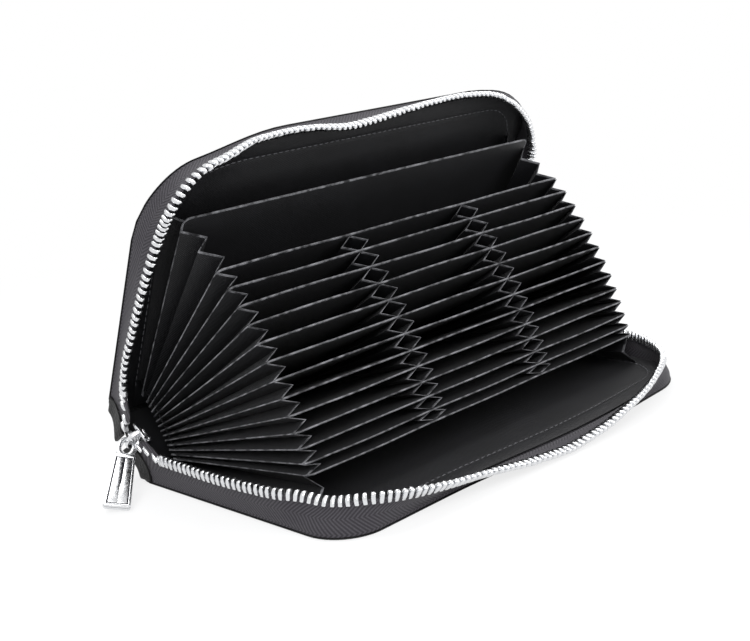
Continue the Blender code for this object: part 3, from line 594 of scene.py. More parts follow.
class Shape:
    """The points and faces of one piece, with each point's place on the cloth and each face's material."""

    def __init__(self):
        self.points, self.cloth, self.faces, self.slots = [], [], [], []

    def add(self, points, cloth=None):
        start = len(self.points)
        self.points += [tuple(point) for point in points]
        self.cloth += cloth or [(0.0, 0.0)] * len(points)
        return list(range(start, start + len(points)))

    def face(self, corners, slot=0):
        self.faces.append(tuple(corners))
        self.slots.append(slot)

    def loft(self, sections, cloth=None, closed=True, caps=True, ring=False, slot=lambda row, column: 0):
        """Skins a row of sections, or a ring of them. slot gives the material of a face from its row and column."""
        rows = [self.add(section, cloth[i] if cloth else None) for i, section in enumerate(sections)]
        count = len(rows[0])
        for row, (here, there) in enumerate(zip(rows, rows[1:] + rows[:1] * ring)):
            for column in range(count if closed else count - 1):
                side = (column + 1) % count
                self.face((here[column], here[side], there[side], there[column]), slot(row, column))
        if caps and not ring:
            self.face(rows[0], slot(0, 0))
            self.face(reversed(rows[-1]), slot(len(rows) - 2, 0))
        return self

    def panel(self, outline, profile, spot):
        """A flat piece whose edge is shaped on three sides.

        outline(inset) is the open line round those sides. profile lists the inset and the height from one face
        round the edge to the other face. spot(p, q, height) puts a point in space.
        """
        lines = [outline(inset) for inset, height in profile]
        sections = [[spot(p, q, height) for p, q in line] for line, (inset, height) in zip(lines, profile)]
        self.loft(sections, lines, closed=False, caps=False)
        size = len(lines[0])
        last = len(self.points) - size
        self.face(range(size))
        self.face(reversed(range(last, last + size)))
        self.face([*range(size - 1, last + size, size), *range(last, -1, -size)])
        return self

    def made(self, name, *finishes, smooth=40):
        mesh = bpy.data.meshes.new(name)
        mesh.from_pydata(self.points, [], self.faces)
        for finish in finishes:
            mesh.materials.append(finish_of(finish))
        mesh.polygons.foreach_set("material_index", self.slots)
        attribute = mesh.attributes.new("cloth", "FLOAT_VECTOR", "POINT")
        attribute.data.foreach_set("vector", [value for p, q in self.cloth for value in (p, q, 0.0)])
        bm = bmesh.new()
        bm.from_mesh(mesh)
        bmesh.ops.recalc_face_normals(bm, faces=bm.faces)
        bm.to_mesh(mesh)
        bm.free()
        softened(mesh, smooth)
        return placed(name, mesh)


def apply_modifiers(obj):
    """Turns the evaluated object into a plain mesh of its own."""
    bpy.context.view_layer.update()
    evaluated = obj.evaluated_get(bpy.context.evaluated_depsgraph_get())
    mesh = bpy.data.meshes.new_from_object(evaluated)
    obj.modifiers.clear()
    old, obj.data = obj.data, mesh
    mesh.name = obj.name
    bpy.data.meshes.remove(old)
    return obj


def rounded(obj, width, segments=3):
    """Rounds the sharp edges of a piece."""
    bevel = obj.modifiers.new("edge_round", "BEVEL")
    bevel.width, bevel.segments = width * MM, segments
    bevel.limit_method, bevel.angle_limit = "ANGLE", math.radians(35)
    return apply_modifiers(obj)


def patch(name, finish, outline, spot, low, high, edge):
    """A small piece cut to an outline, from low to high, with its edges rounded. Its lengths are millimetres."""
    outline = metres(outline)
    sections = [[spot(p, q, height * MM) for p, q in outline] for height in (low, high)]
    return rounded(Shape().loft(sections, [outline] * 2).made(name, finish), edge)


def joined(name, parts):
    """One object of several closed parts."""
    bm = bmesh.new()
    finishes, levels = [], []
    for part in parts:
        finish = part.data.materials[0]
        if finish not in finishes:
            finishes.append(finish)
        levels += [finishes.index(finish)] * len(part.data.polygons)
        bm.from_mesh(part.data)
    mesh = bpy.data.meshes.new(name)
    for finish in finishes:
        mesh.materials.append(finish)
    bm.to_mesh(mesh)
    bm.free()
    mesh.polygons.foreach_set("material_index", levels)
    softened(mesh, 50)
    for part in parts:
        bpy.data.objects.remove(part, do_unlink=True)
    return placed(name, mesh)


def repeated(name, rail, unit, finish, seed=1, jitter=0.0):
    """A copy of a unit mesh at each point of the rail: (place, along, up). Its own X lies along, and its Z up."""
    mesh = bpy.data.meshes.new(name)
    mesh.from_pydata([place for place, along, up in rail], [], [])
    for number, key in ((1, "along"), (2, "up")):
        attribute = mesh.attributes.new(key, "FLOAT_VECTOR", "POINT")
        attribute.data.foreach_set("vector", [value for point in rail for value in point[number]])
    made = placed(name, mesh)
    tree = bpy.data.node_groups.new(name + "_row", "GeometryNodeTree")
    for label, kind in (("Rail", "Geometry"), ("Unit", "Object"), ("Finish", "Material"), ("Jitter", "Float")):
        tree.interface.new_socket(label, in_out="INPUT", socket_type=f"NodeSocket{kind}")
    tree.interface.new_socket("Row", in_out="OUTPUT", socket_type="NodeSocketGeometry")
    given = node(tree, "NodeGroupInput").outputs
    up, along = (node(tree, "GeometryNodeInputNamedAttribute", {"Name": key}, data_type="FLOAT_VECTOR")
                 for key in ("up", "along"))
    turn = node(tree, "FunctionNodeAxesToRotation", (up, along), primary_axis="Z", secondary_axis="X")
    low = node(tree, "ShaderNodeMath", (given["Jitter"], -1.0), operation="MULTIPLY")
    shake = node(tree, "FunctionNodeRandomValue", {2: low, 3: given["Jitter"], "Seed": seed}, data_type="FLOAT")
    tip = node(tree, "ShaderNodeCombineXYZ", (shake.outputs[1], shake.outputs[1]))
    tilt = node(tree, "FunctionNodeEulerToRotation", (tip,))
    both = node(tree, "FunctionNodeRotateRotation", (turn, tilt), rotation_space="LOCAL")
    source = node(tree, "GeometryNodeObjectInfo", {"Object": given["Unit"]}).outputs["Geometry"]
    copies = node(tree, "GeometryNodeInstanceOnPoints",
                  {"Points": given["Rail"], "Instance": source, "Rotation": both})
    real = node(tree, "GeometryNodeRealizeInstances", {"Geometry": copies})
    dressed = node(tree, "GeometryNodeSetMaterial", {"Geometry": real, "Material": given["Finish"]})
    node(tree, "NodeGroupOutput", {"Row": dressed})
    modifier = made.modifiers.new("row", "NODES")
    modifier.node_group = tree
    keys = {item.name: item.identifier for item in tree.interface.items_tree if item.in_out == "INPUT"}
    modifier[keys["Unit"]], modifier[keys["Finish"]], modifier[keys["Jitter"]] = unit, finish_of(finish), jitter
    return apply_modifiers(made)


def fitted(made, slot, motion, *nodes):
    """Gives a piece the nodes that it stands for, its slot, and the body that it rides on or the blend of two."""
    for name in nodes:
        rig.replaces(made, name)
    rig.slot(made, slot)
    if isinstance(motion, str):
        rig.ride(made, motion)
    else:
        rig.blend(made, *motion)
    return made


# The covers' outline and the skin

def cover_line(inset, start):
    """The open line round a cover's near, long and far sides, as x and the distance from the spine's edge."""
    s = sizes()
    smallest = 0.8 * MM
    near, far = (max(corner - inset, smallest) for corner in (s.corner, s.far_corner))
    near_x, far_x = NEAR_X + inset + near, FAR_X - inset - far
    near_out, far_out = COVER_WIDTH - inset - near, COVER_WIDTH - inset - far
    return (
        [(NEAR_X + inset, out) for out in steps(start, near_out, 10)[:-1]]
        + arc((near_x, near_out), near, 180, 90)
        + [(x, COVER_WIDTH - inset) for x in steps(near_x, far_x, 24)[1:-1]]
        + arc((far_x, far_out), far, 90, 0)
        + [(FAR_X - inset, out) for out in steps(far_out, start, 10)[1:]]
    )


def cover_panel(side, kind, finish, slot, node_kind, start, rim):
    """A layer of a cover. rim is the profile of its edge, and rings on both faces let its flat middle bend."""
    rings = [inset * MM for inset in (36, 31, 26, 22, 18)]
    profile = [(inset, rim[0][1]) for inset in rings] + rim + [(inset, rim[-1][1]) for inset in reversed(rings)]
    shape = Shape().panel(lambda inset: cover_line(inset, start), profile, COVERS[side].at)
    return fitted(shape.made(f"{side}_{kind}", finish), slot, f"{side}_cover", f"{side}_cover_{node_kind}")


def fold_curve(leaving, arriving, start, end):
    """A soft bend between two flat places, as points and the directions into the wallet."""
    softness = 0.78  # how far each end of the curve keeps to its own place, as a share of the fold
    pull = sizes().fold * softness
    after, before = start + leaving * pull, end - arriving * pull
    found = []
    for t in steps(0, 1, 10):
        u = 1 - t
        point = start * u**3 + after * 3 * u * u * t + before * 3 * u * t * t + end * t**3
        way = ((after - start) * u * u + (before - after) * 2 * u * t + (end - before) * t * t).normalized()
        found.append((point, Vector((0, -way.z, way.y))))
    return found


def skin_strip(name, stations, waist):
    """Leather between two covers: at each station a point of its outer face and the direction into the wallet."""
    rim = metres([(0.6, 0.0), (0.14, 0.3), (0.0, 0.65), (0.14, 1.0)]) + [(0.6 * MM, LEATHER)]
    sections = []
    for number, (point, inward) in enumerate(stations):
        inset = waist(number / (len(stations) - 1))
        loop = [(NEAR_X + inset + d, depth) for d, depth in rim]
        loop += [(FAR_X - inset - d, depth) for d, depth in reversed(rim)]
        sections.append([Vector((x, point.y, point.z)) + inward * depth for x, depth in loop])
    return Shape().loft(sections).made(name, "leather")


class WALLET_OT_leather_shell(Operator):
    """Leather skin: two covers, the spine and the bends between them"""

    bl_idname = "wallet.leather_shell"
    bl_label = "Leather shell"

    def execute(self, context):
        s = sizes()
        drawn_thickness = 1.2  # the rim's heights are drawn for this, and scaled to the leather's own
        rim = [(14, 0.0), (6, 0.0), (3.1, 0.02), (2.7, 0.16), (2.3, 0.02), (1.2, 0.0), (0.4, 0.05), (0.1, 0.18),
               (0.0, 0.36), (0.1, 0.56), (0.4, 0.7), (2.4, 0.75), (4.6, 1.2), (8.0, 1.2)]
        rim = [(inset * MM, height / drawn_thickness * LEATHER) for inset, height in rim]
        for side in COVERS:
            cover_panel(side, "leather_cover", "leather", "leather", "leather", s.fold, rim)
        front_start, front_end = FRONT.at(0, s.fold, 0), SPINE.at(0, 0, s.fold)
        rear_start, rear_end = SPINE.at(0, 0, THICKNESS - s.fold), REAR.at(0, s.fold, 0)
        front = skin_strip("front_spine_bend", fold_curve(-FRONT.out, SPINE.up, front_start, front_end),
                           lambda t: s.spine_waist * smoothstep(t))
        fitted(front, "leather", ("front_cover", "spine", front_start, front_end))
        rear = skin_strip("rear_spine_bend", fold_curve(SPINE.up, REAR.out, rear_start, rear_end),
                          lambda t: s.spine_waist * smoothstep(1 - t))
        fitted(rear, "leather", ("spine", "rear_cover", rear_start, rear_end))
        bulge = 0.5 * MM
        flat = THICKNESS - 2 * s.fold
        stations = [(SPINE.at(0, -bulge * math.sin(math.pi * (up - s.fold) / flat) ** 2, up), SPINE.out)
                    for up in steps(s.fold, THICKNESS - s.fold, 10)]
        spine = skin_strip("leather_spine", stations, lambda t: s.spine_waist)
        fitted(spine, "leather", "spine", "spine_leather")
        return {"FINISHED"}


class WALLET_OT_boards(Operator):
    """Stiffening boards between the leather and the linings"""

    bl_idname = "wallet.boards"
    bl_label = "Boards"

    def execute(self, context):
        low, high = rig.box("front_cover_board")
        inset, middle = low.x - NEAR_X, 12 * MM
        rim = [(middle, low.z), (inset, low.z), (inset, high.z), (middle, high.z)]
        for side in COVERS:
            cover_panel(side, "stiff_board", "board", "board", "board", FRONT.origin.y - high.y, rim)
        return {"FINISHED"}


class WALLET_OT_linings(Operator):
    """Satin linings of the covers and the spine, with a sunk sewing line"""

    bl_idname = "wallet.linings"
    bl_label = "Linings"

    def execute(self, context):
        s = sizes()
        clearance, start = 0.3 * MM, 1.5 * MM  # from the tape, and from the spine
        edge = s.zip_inset + s.tape / 2 + clearance
        rim = [(edge + inset * MM, LINING_HIGH + rise * MM) for inset, rise in (
            (0, -0.1), (0.15, 0), (5.6, 0.12), (6.6, 0.05), (7.1, -0.12), (7.6, 0.03), (9, 0.1), (13, 0))]
        rim = [(13 * MM, LINING_LOW), (edge + 3 * MM, LINING_LOW), (edge, LINING_LOW)] + rim
        for side in COVERS:
            made = cover_panel(side, "satin_lining", "satin", "lining", "lining", start, rim)
            flat = (FAR_X - NEAR_X - 2 * edge, COVER_WIDTH - edge - start)
            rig.sheet(made, flat, "stretched", [f"{side}_stiff_board"])
        near_x, far_x = NEAR_X + s.spine_waist, FAR_X - s.spine_waist
        low, high, margin = 1.5 * MM, 1.9 * MM, 3.2 * MM
        loop = [(near_x, low), (far_x, low), (far_x, high), (near_x, high)]
        sections = [[SPINE.at(x, depth, up) for x, depth in loop] for up in steps(margin, THICKNESS - margin, 8)]
        cloth = [[(x, up) for x, depth in loop] for up in steps(0, THICKNESS, 8)]
        made = Shape().loft(sections, cloth).made("spine_satin_lining", "satin")
        fitted(made, "lining", "spine", "spine_lining")
        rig.sheet(made, (far_x - near_x, THICKNESS - 2 * margin), "stretched", ["leather_spine"])
        return {"FINISHED"}


# Leaves

def leaf_bow(seed, columns, depth):
    """How far a leaf's pockets stand open at a share of its length, each column by its own amount."""
    draw = random.Random(seed)
    amounts = [depth * draw.uniform(-1, 1) for column in range(columns)]

    def bow(share):
        column = min(columns - 1, int(share * columns))
        return amounts[column] * math.sin(math.pi * (share * columns - column)) ** 2

    return bow


def leaf_piece(name, node_name, place, bow):
    """A stiff fabric wall: folded edges at its ends and mouth, and pockets that stand slightly open."""
    s = sizes()
    corner, foot, reach = s.leaf_corner, -1.3 * MM, place.reach(node_name)
    bow_start, thin, thinning = 10 * MM, 0.35, 0.45 * MM  # the ends are pressed thin over a short length
    end_rows, mouth_columns = 3, 2.6  # the faces that take the grey fold edge, a painted highlight
    lowest, hem, tip = reach - corner * 0.93, 0.92, 0.6  # the least height, and the thinning towards the mouth
    span = LEAF_FAR_X - LEAF_NEAR_X
    ends = [end * MM for end in (0.0, 0.1, 0.3, 0.6, 1.2, 2.1)] + [corner]
    sections, cloth = [], []
    for x in ends + steps(corner, span - corner, 54)[1:-1] + [span - end for end in reversed(ends)]:
        edge = min(x, span - x)
        top = reach if edge >= corner else reach - corner + math.sqrt(corner**2 - (corner - edge) ** 2)
        top = max(top, lowest)
        thick = s.leaf / 2 * (thin + (1 - thin) * smoothstep(edge, -0.02 * MM, thinning))
        rise = [foot + max(0.0, s.root_cut - edge)] + [height * MM for height in (16, 26, 40, 52, 62, 69)]
        rise += [74 * MM - reach / 100] + [top - inset * MM for inset in (1.4, 0.62, 0.3, 0.08)]
        rise = sorted(min(r, top - 0.08 * MM) for r in rise)
        half = [(r, thick) for r in rise[:-2]] + [(rise[-2], thick * hem), (rise[-1], thick * tip)]
        loop = half + [(top, 0.0)] + [(r, -h) for r, h in reversed(half)]
        lift = bow(x / span)
        sections.append([place.at(LEAF_NEAR_X + x, r, h + lift * smoothstep(r, bow_start, reach)) for r, h in loop])
        cloth.append([(x, r) for r, h in loop])
    rows, count = len(sections), len(sections[0])

    def slot(row, column):
        near_end = row < end_rows or row > rows - 2 - end_rows
        near_mouth = abs(column + 0.5 - count / 2) < mouth_columns
        return 1 if near_end or near_mouth else 0

    made = Shape().loft(sections, cloth, slot=slot).made(name, "satin", "edge")
    return fitted(made, "leaf_fabric", node_name, node_name)


class WALLET_OT_leaves(Operator):
    """The divider and the stiff fabric leaves that fan out of the spine"""

    bl_idname = "wallet.leaves"
    bl_label = "Leaves"

    def execute(self, context):
        seed, divider_seed, opening, divider_opening = 20, 5, 0.35 * MM, 0.5 * MM
        leaf_piece("bill_divider", "rear_bill_divider", DIVIDER, leaf_bow(divider_seed, 1, divider_opening))
        for number, (place, node_name) in enumerate(zip(LEAVES, LEAF_NODES)):
            leaf_piece(f"fabric_leaf_{number + 1:02d}", node_name, place,
                       leaf_bow(seed + number, sizes().columns, opening))
        return {"FINISHED"}


# Gussets

def face_of(place, up, foot=0.0):
    """The side of a leaf or lining that a gusset meets, by x and the reach from the leaves' axes."""
    return lambda x, reach: place.at(x, foot + reach, up)


def pleat(shape, upper, lower, x, folds, fold, start, end):
    """A folded wall across a pocket, fold deep along X, with a grey edge at the pocket's mouth that is a painted
    highlight.
    """
    s = sizes()
    ridge_half, widest = 0.03, 1.3 * MM  # a fold's rounding as a share of the wall, and its greatest thickness
    edge, hem, hem_thin = 0.8 * MM, 0.45 * MM, 0.55  # where the grey edge and its hem begin, and how thin that is
    drop = 20 * MM  # the wall's depth on the cloth
    ridges = [(ridge + 0.5) / folds + side for ridge in range(folds) for side in (-ridge_half, ridge_half)]
    shares = sorted(steps(0, 1, 4 * folds) + ridges)
    sections, cloth = [], []
    for reach in steps(start, end - edge, 9) + [end - hem, end]:
        rise = (upper(x, reach) - lower(x, reach)).length / (2 * folds)
        thick = min(s.gusset * math.hypot(fold, rise) / rise, widest) * (hem_thin if reach == end else 1)
        loop = [(x + fold * (1 - abs(2 * ((share * folds) % 1.0) - 1)), share) for share in shares]
        loop += [(along + math.copysign(thick, fold), share) for along, share in reversed(loop)]
        sections.append([upper(along, reach).lerp(lower(along, reach), share) for along, share in loop])
        cloth.append([(reach, share * drop) for along, share in loop])
    mouth = len(sections) - 3
    shape.loft(sections, cloth, slot=lambda row, column: 1 if row >= mouth else 0)


def gusset_piece(name, node_name, upper, lower, folds, fold, columns, end, body, anchor, squash):
    """The folds at a row's ends and column boundaries, with the floor of its pockets.

    squash is the share of its width that stays when the wallet closes.
    """
    shape, start = Shape(), sizes().gusset_start
    gap, floor_inset, floor_thickness, seam = 0.12 * MM, 1 * MM, 0.5 * MM, 10 * MM
    bounds = steps(LEAF_NEAR_X, LEAF_FAR_X, columns)
    for left, right in zip(bounds, bounds[1:]):
        pleat(shape, upper, lower, left + gap, folds, fold, start, end)
        pleat(shape, upper, lower, right - gap, folds, -fold, start, end)
    corners = [(share, start) for share in (0.04, 0.96)] + [(share, start + floor_thickness) for share in (0.96, 0.04)]
    shape.loft([[upper(x, reach).lerp(lower(x, reach), share) for share, reach in corners]
                for x in (LEAF_NEAR_X + floor_inset, LEAF_FAR_X - floor_inset)])
    made = fitted(shape.made(name, "pleat", "edge", smooth=50), "lining", body, node_name)
    middle = (end + start) / 2
    wide = 2 * folds * math.hypot(fold, (upper(0, middle) - lower(0, middle)).length / (2 * folds))
    area = 2 * columns * wide * (end - start) + (upper(0, start) - lower(0, start)).length * (FAR_X - NEAR_X)
    flat = (2 * columns * wide + seam, end - start + seam)
    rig.sheet(made, flat, "folded", [body], area=min(area, flat[0] * flat[1]))
    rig.squash(made, "cover_opening", axis=-anchor.up, anchor=anchor.at(0, 0, 0), keep=squash)


class WALLET_OT_gussets(Operator):
    """Folded satin that closes each row's pockets, and the three wide compartments"""

    bl_idname = "wallet.gussets"
    bl_label = "Gussets"

    def execute(self, context):
        s = sizes()
        half = s.leaf / 2 - 0.05 * MM
        row_end = LEAVES[0].reach(LEAF_NODES[0]) - 1 * MM
        bill_end = 76 * MM
        lining, root = LINING_HIGH + 0.2 * MM, 3.6 * MM
        for number, (upper, lower) in enumerate(zip(LEAVES, LEAVES[1:])):
            gusset_piece(f"pleated_row_{number + 1:02d}", f"row_gusset_{number + 1:02d}", face_of(upper, -half),
                         face_of(lower, half), 1, s.row_fold, s.columns, row_end, LEAF_NODES[number], upper, 0.14)
        gusset_piece("pleated_wide_pocket", "wide_pocket_gusset", face_of(DIVIDER, -half), face_of(LEAVES[0], half),
                     2, 7 * MM, 1, row_end, "rear_bill_divider", DIVIDER, 0.05)
        gusset_piece("pleated_rear_pocket", "rear_bill_gusset", face_of(REAR, lining, root), face_of(DIVIDER, half),
                     1, 5 * MM, 1, bill_end, "rear_bill_divider", DIVIDER, 0.12)
        gusset_piece("pleated_front_pocket", "front_bill_gusset", face_of(LEAVES[-1], -half),
                     face_of(FRONT, lining, root), 1, 6 * MM, 1, bill_end, LEAF_NODES[-1], LEAVES[-1], 0.08)
        return {"FINISHED"}


# The zip

FLAP_NEAR = (NEAR_X, NEAR_X + 82 * MM)
FLAP_FAR = (NEAR_X + 191 * MM, NEAR_X + 112 * MM)
FLAP_MIDDLE = NEAR_X + 97 * MM
ZIP_END = 9 * MM  # how far from the spine the far end of each tape is
FIRST_TOOTH = {"front": 10 * MM, "rear": 9 * MM}  # how far from the spine the first tooth beside the slider is
SLIDER_LOW, SLIDER_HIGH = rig.box("slider_body")
SLIDER = (SLIDER_LOW + SLIDER_HIGH) / 2
SLIDER_HALF = (SLIDER_HIGH.x - SLIDER_LOW.x) / 2 / MM  # millimetres
SLIDER_SAG = SPINE.out * 0.5 * MM - SPINE.up * 1.2 * MM + Vector((1.2 * MM, 0, 0))
GATHER_OUT, GATHER_UP = 0.56, -0.83  # the way of the gather's line in its cover's place
UPRIGHT = 0.001  # a tape that leans less than this isn't bent

# The waves of each tape: degrees of outward lean at millimetres along the zip
WAVES = {
    "front": ((8, 12.5), (30.4, 15), (44.5, 16.7), (63.3, 11.3), (74.8, 1.8), (80.4, -14), (88, -29.5), (96, -30.2),
              (104, -11.2), (114, 10.8), (128, 13.4), (154, -2.8), (171, -2), (190, 6), (206, -3), (223, -8), (243, 0),
              (257, -2.4), (268.5, -15), (282, -18), (295, -11), (307, 15), (322, 10), (381, 5)),
    "rear": ((8, 20), (27.5, 29), (40, 23), (57.4, 13), (69, 2), (75, -3.9), (87, 3.5), (96, 19), (100.5, 26),
             (106.3, 29), (114, 32), (127, 40), (140, 34), (149.6, 30), (160, 24.7), (173, 15), (186, 18.7),
             (200.5, 27), (215.4, 33.3), (230, 35.8), (243.5, 31.5), (254, 21.4), (260, 8.3), (270.7, -17.4),
             (284, -23.9), (296.6, -11.6), (308, 25), (320, 25), (345, 10), (370, 0)),
}


def zip_runs():
    """Lengths along the zip's line: to the near corner, past it, to the far corner, past it, and to the far end."""
    s = sizes()
    quarter = math.pi / 2
    marks = [COVER_WIDTH - s.corner]
    for step in ((s.corner - s.zip_inset) * quarter, FAR_X - NEAR_X - s.corner - s.far_corner,
                 (s.far_corner - s.zip_inset) * quarter, COVER_WIDTH - s.far_corner):
        marks.append(marks[-1] + step)
    return marks


def zip_line(run):
    """The sewn line after a length of run from the spine's near end: x, distance from the spine, outward x and out."""
    s = sizes()
    near, near_past, far, far_past, end = zip_runs()
    if run <= near:
        return NEAR_X + s.zip_inset, run, -1.0, 0.0
    if near_past < run <= far:
        return NEAR_X + s.corner + run - near_past, COVER_WIDTH - s.zip_inset, 0.0, 1.0
    if run > far_past:
        return FAR_X - s.zip_inset, end - run, 1.0, 0.0
    if run <= near_past:
        corner, centre, swing = s.corner, NEAR_X + s.corner, (run - near) / (s.corner - s.zip_inset)
        normal = (-math.cos(swing), math.sin(swing))
    else:
        corner, centre, swing = s.far_corner, FAR_X - s.far_corner, (run - far) / (s.far_corner - s.zip_inset)
        normal = (math.sin(swing), math.cos(swing))
    radius = corner - s.zip_inset
    return centre + radius * normal[0], COVER_WIDTH - corner + radius * normal[1], *normal


def wave_at(waves, run):
    """The lean between the entries of a list of waves, along a smooth curve."""
    just_inside = 0.001
    value = min(max(run / MM, waves[0][0]), waves[-1][0] - just_inside)
    number = max(i for i, entry in enumerate(waves) if entry[0] <= value)
    before, here, there = waves[max(number - 1, 0)], waves[number], waves[number + 1]
    after = waves[min(number + 2, len(waves) - 1)]
    gap, climb = there[0] - here[0], there[1] - here[1]
    t = (value - here[0]) / gap
    rise = (there[1] - before[1]) / (there[0] - before[0]) * gap
    fall = (after[1] - here[1]) / (after[0] - here[0]) * gap
    return math.radians(here[1] + t * (rise + t * (3 * climb - 2 * rise - fall + t * (rise + fall - 2 * climb))))


def lean_at(side, run, x):
    """Outward lean of a tape. The front one stands at its ends and has flopped outwards along its long side."""
    lean = wave_at(WAVES[side], run)
    if side == "front":
        lean += sizes().front_lean * smoothstep(x, *(FLAP_NEAR if x < FLAP_MIDDLE else FLAP_FAR))
    return lean


def gather_line(side):
    """The line from the slider to a cover along which a tape stops following the spine and follows its cover."""
    place = COVERS[side]
    start = Vector((0, SLIDER.y, SLIDER.z))
    return start, start + (place.out * GATHER_OUT + place.up * GATHER_UP) * sizes().gather


def gathered(side, point):
    """Takes a point of the tape as it stands on its cover to where the slider holds it."""
    place = COVERS[side]
    start, end = gather_line(side)
    reach = end - start
    share_at = lambda spot: smoothstep((spot - start).dot(reach) / reach.length_squared)
    if share_at(point) == 1.0:
        return point
    low, high = 0.0, 1.0
    for halving in range(16):
        share = (low + high) / 2
        turn = Matrix.Rotation(-place.side * HALF_OPENING * (1 - share), 3, "X")
        turned = place.origin + turn @ (point - place.origin)
        if share_at(turned) > share:
            low = share
        else:
            high = share
    return turned


def zip_spot(side, run, sideways, height):
    """A point of the zip: height up the tape from its foot, and sideways out of its outer face."""
    bend = sizes().tape_bend
    x, out, normal_x, normal_out = zip_line(run)
    lean = lean_at(side, run, x)
    if height <= 0:
        theta, across, rise = 0.0, 0.0, height
    elif abs(lean) < UPRIGHT:
        theta, across, rise = lean, height * math.sin(lean), height * math.cos(lean)
    else:
        bent = min(height, bend)
        theta = lean * bent / bend
        across = bend / lean * (1 - math.cos(theta)) + (height - bent) * math.sin(theta)
        rise = bend / lean * math.sin(theta) + (height - bent) * math.cos(theta)
    across += sideways * math.cos(theta)
    rise -= sideways * math.sin(theta)
    return gathered(side, COVERS[side].at(x + normal_x * across, out + normal_out * across, TAPE_FOOT + rise))


def zip_pieces():
    """The stretches of each half of the zip: side, name, first and last run, how it moves, and what it stands for."""
    s = sizes()
    near, near_past, far, far_past, end = zip_runs()
    whole_teeth = lambda run: round(run / s.tooth_pitch) * s.tooth_pitch
    near_cut, far_cut = whole_teeth((near + near_past) / 2), whole_teeth((far + far_past) / 2)
    middle = whole_teeth(near_past + FLAP_MIDDLE - NEAR_X - s.corner)
    first, last = 3.2 * MM, end - ZIP_END
    flap = [("front_cover", "front_zip_flap", *(Vector((x, FRONT.origin.y - COVER_WIDTH, TAPE_FOOT)) for x in ends))
            for ends in (FLAP_NEAR, FLAP_FAR)]
    for side in COVERS:
        body = f"{side}_cover"
        yield side, "near", first, near_cut, ("spine", body, *gather_line(side)), ["near"]
        if side == "front":
            yield side, "long_near", near_cut, middle, flap[0], ["long"]
            yield side, "long_far", middle, far_cut, flap[1], []
        else:
            yield side, "long", near_cut, far_cut, body, ["long"]
        yield side, "far", far_cut, last, body, ["far"]


def foot_bulge(height):
    """How far the tape swells outwards at a height."""
    return sizes().tape_bulge * (1 - smoothstep(height, 0.5 * MM, 4.5 * MM))


class WALLET_OT_zip_tapes(Operator):
    """Woven tapes of the zip, sewn round three sides of each cover and gathered at the slider"""

    bl_idname = "wallet.zip_tapes"
    bl_label = "Zip tapes"

    def execute(self, context):
        top, half, sewn, stride = SEAT + 1.3 * MM, sizes().tape / 2, 2.4 * MM, 1.5 * MM
        heights = [height * MM for height in (-0.7, -0.3, 0.3, 1.0, 1.7, 2.4, 3.2, 4.2, 5.5, 7.0, 8.2)]
        middle = [(foot_bulge(height), height) for height in heights]
        rim = [(half * 1.5, top - 0.6 * MM), (half * 1.7, top - 0.2 * MM)]
        loop = metres([(-2.4, -0.25), (-0.1, -0.25), (0.1, -0.7)])
        loop += [(across + half, h) for across, h in middle] + rim + [(0.0, top + 0.25 * MM)]
        loop += [(-across, h) for across, h in reversed(rim)]
        loop += [(across - half, h) for across, h in reversed(middle[2:])]
        loop += metres([(-2.4, 0.2)])
        for side, name, start, end, motion, stands_for in zip_pieces():
            runs = steps(start, end, max(6, round((end - start) / stride)))
            shape = Shape().loft([[zip_spot(side, run, across, height) for across, height in loop] for run in runs],
                                 [[(run, height) for across, height in loop] for run in runs])
            made = shape.made(f"{side}_tape_{name}", "tape", smooth=50)
            fitted(made, "zip_tape", motion, *(f"{side}_zip_tape_{part}" for part in stands_for))
            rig.sheet(made, (end - start, top + sewn), "stretched", [f"{side}_leather_cover"])
        return {"FINISHED"}


def tooth_unit():
    """One metal tooth: two legs that clasp the tape's edge and a head with a nub, standing on Z, along X."""
    width, leg, nub = sizes().tooth_width, 1.9 * MM, 0.22 * MM
    chamfer, narrowing = 0.84, 0.12  # the sides' smaller outline, and how much the head narrows
    half = metres([(0.32, 0.15), (0.42, 0.0), (1.02, 0.0), (1.25, 0.3), (1.27, 2.0), (1.12, 2.6), (0.95, 3.0),
                   (0.88, 3.4), (0.55, 3.7)])
    outline = half + [(-y, z) for y, z in reversed(half)] + metres([(-0.3, 1.1), (0.3, 1.1)])
    sections = []
    for share, inset in ((-0.5, chamfer), (-0.34, 1.0), (0.34, 1.0), (0.5, chamfer)):
        section = []
        for y, z in outline:
            head = smoothstep(z, 2.2 * MM, 3.6 * MM)
            section.append(Vector((share * width * (1 - narrowing * head) + nub * head, y * inset,
                                   leg + (z - leg) * (0.5 + 0.5 * inset))))
        sections.append(section)
    return Shape().loft(sections).made("tooth_unit", "chrome", smooth=50)


def tooth_runs(side, first, last):
    """Where the teeth of one side stand: a pitch apart along the edge of the tape, however it leans."""
    edge, stride = SEAT + 2 * MM, 0.2 * MM
    found, gone, here = [], 0.0, zip_spot(side, first, 0, edge)
    for run in steps(first, last, round((last - first) / stride)):
        there = zip_spot(side, run, 0, edge)
        gone += (there - here).length
        here = there
        if gone >= len(found) * sizes().tooth_pitch:
            found.append(run)
    return found


def tooth_rail(side, runs):
    """The place, the way along the zip and the way up the tape of the teeth at some runs."""
    for run in runs:
        place = zip_spot(side, run, 0, SEAT)
        up = zip_spot(side, run, 0, SEAT + 2 * MM) - place
        along = zip_spot(side, run + 0.5 * MM, 0, SEAT + MM) - zip_spot(side, run - 0.5 * MM, 0, SEAT + MM)
        yield place, along.normalized(), up.normalized()


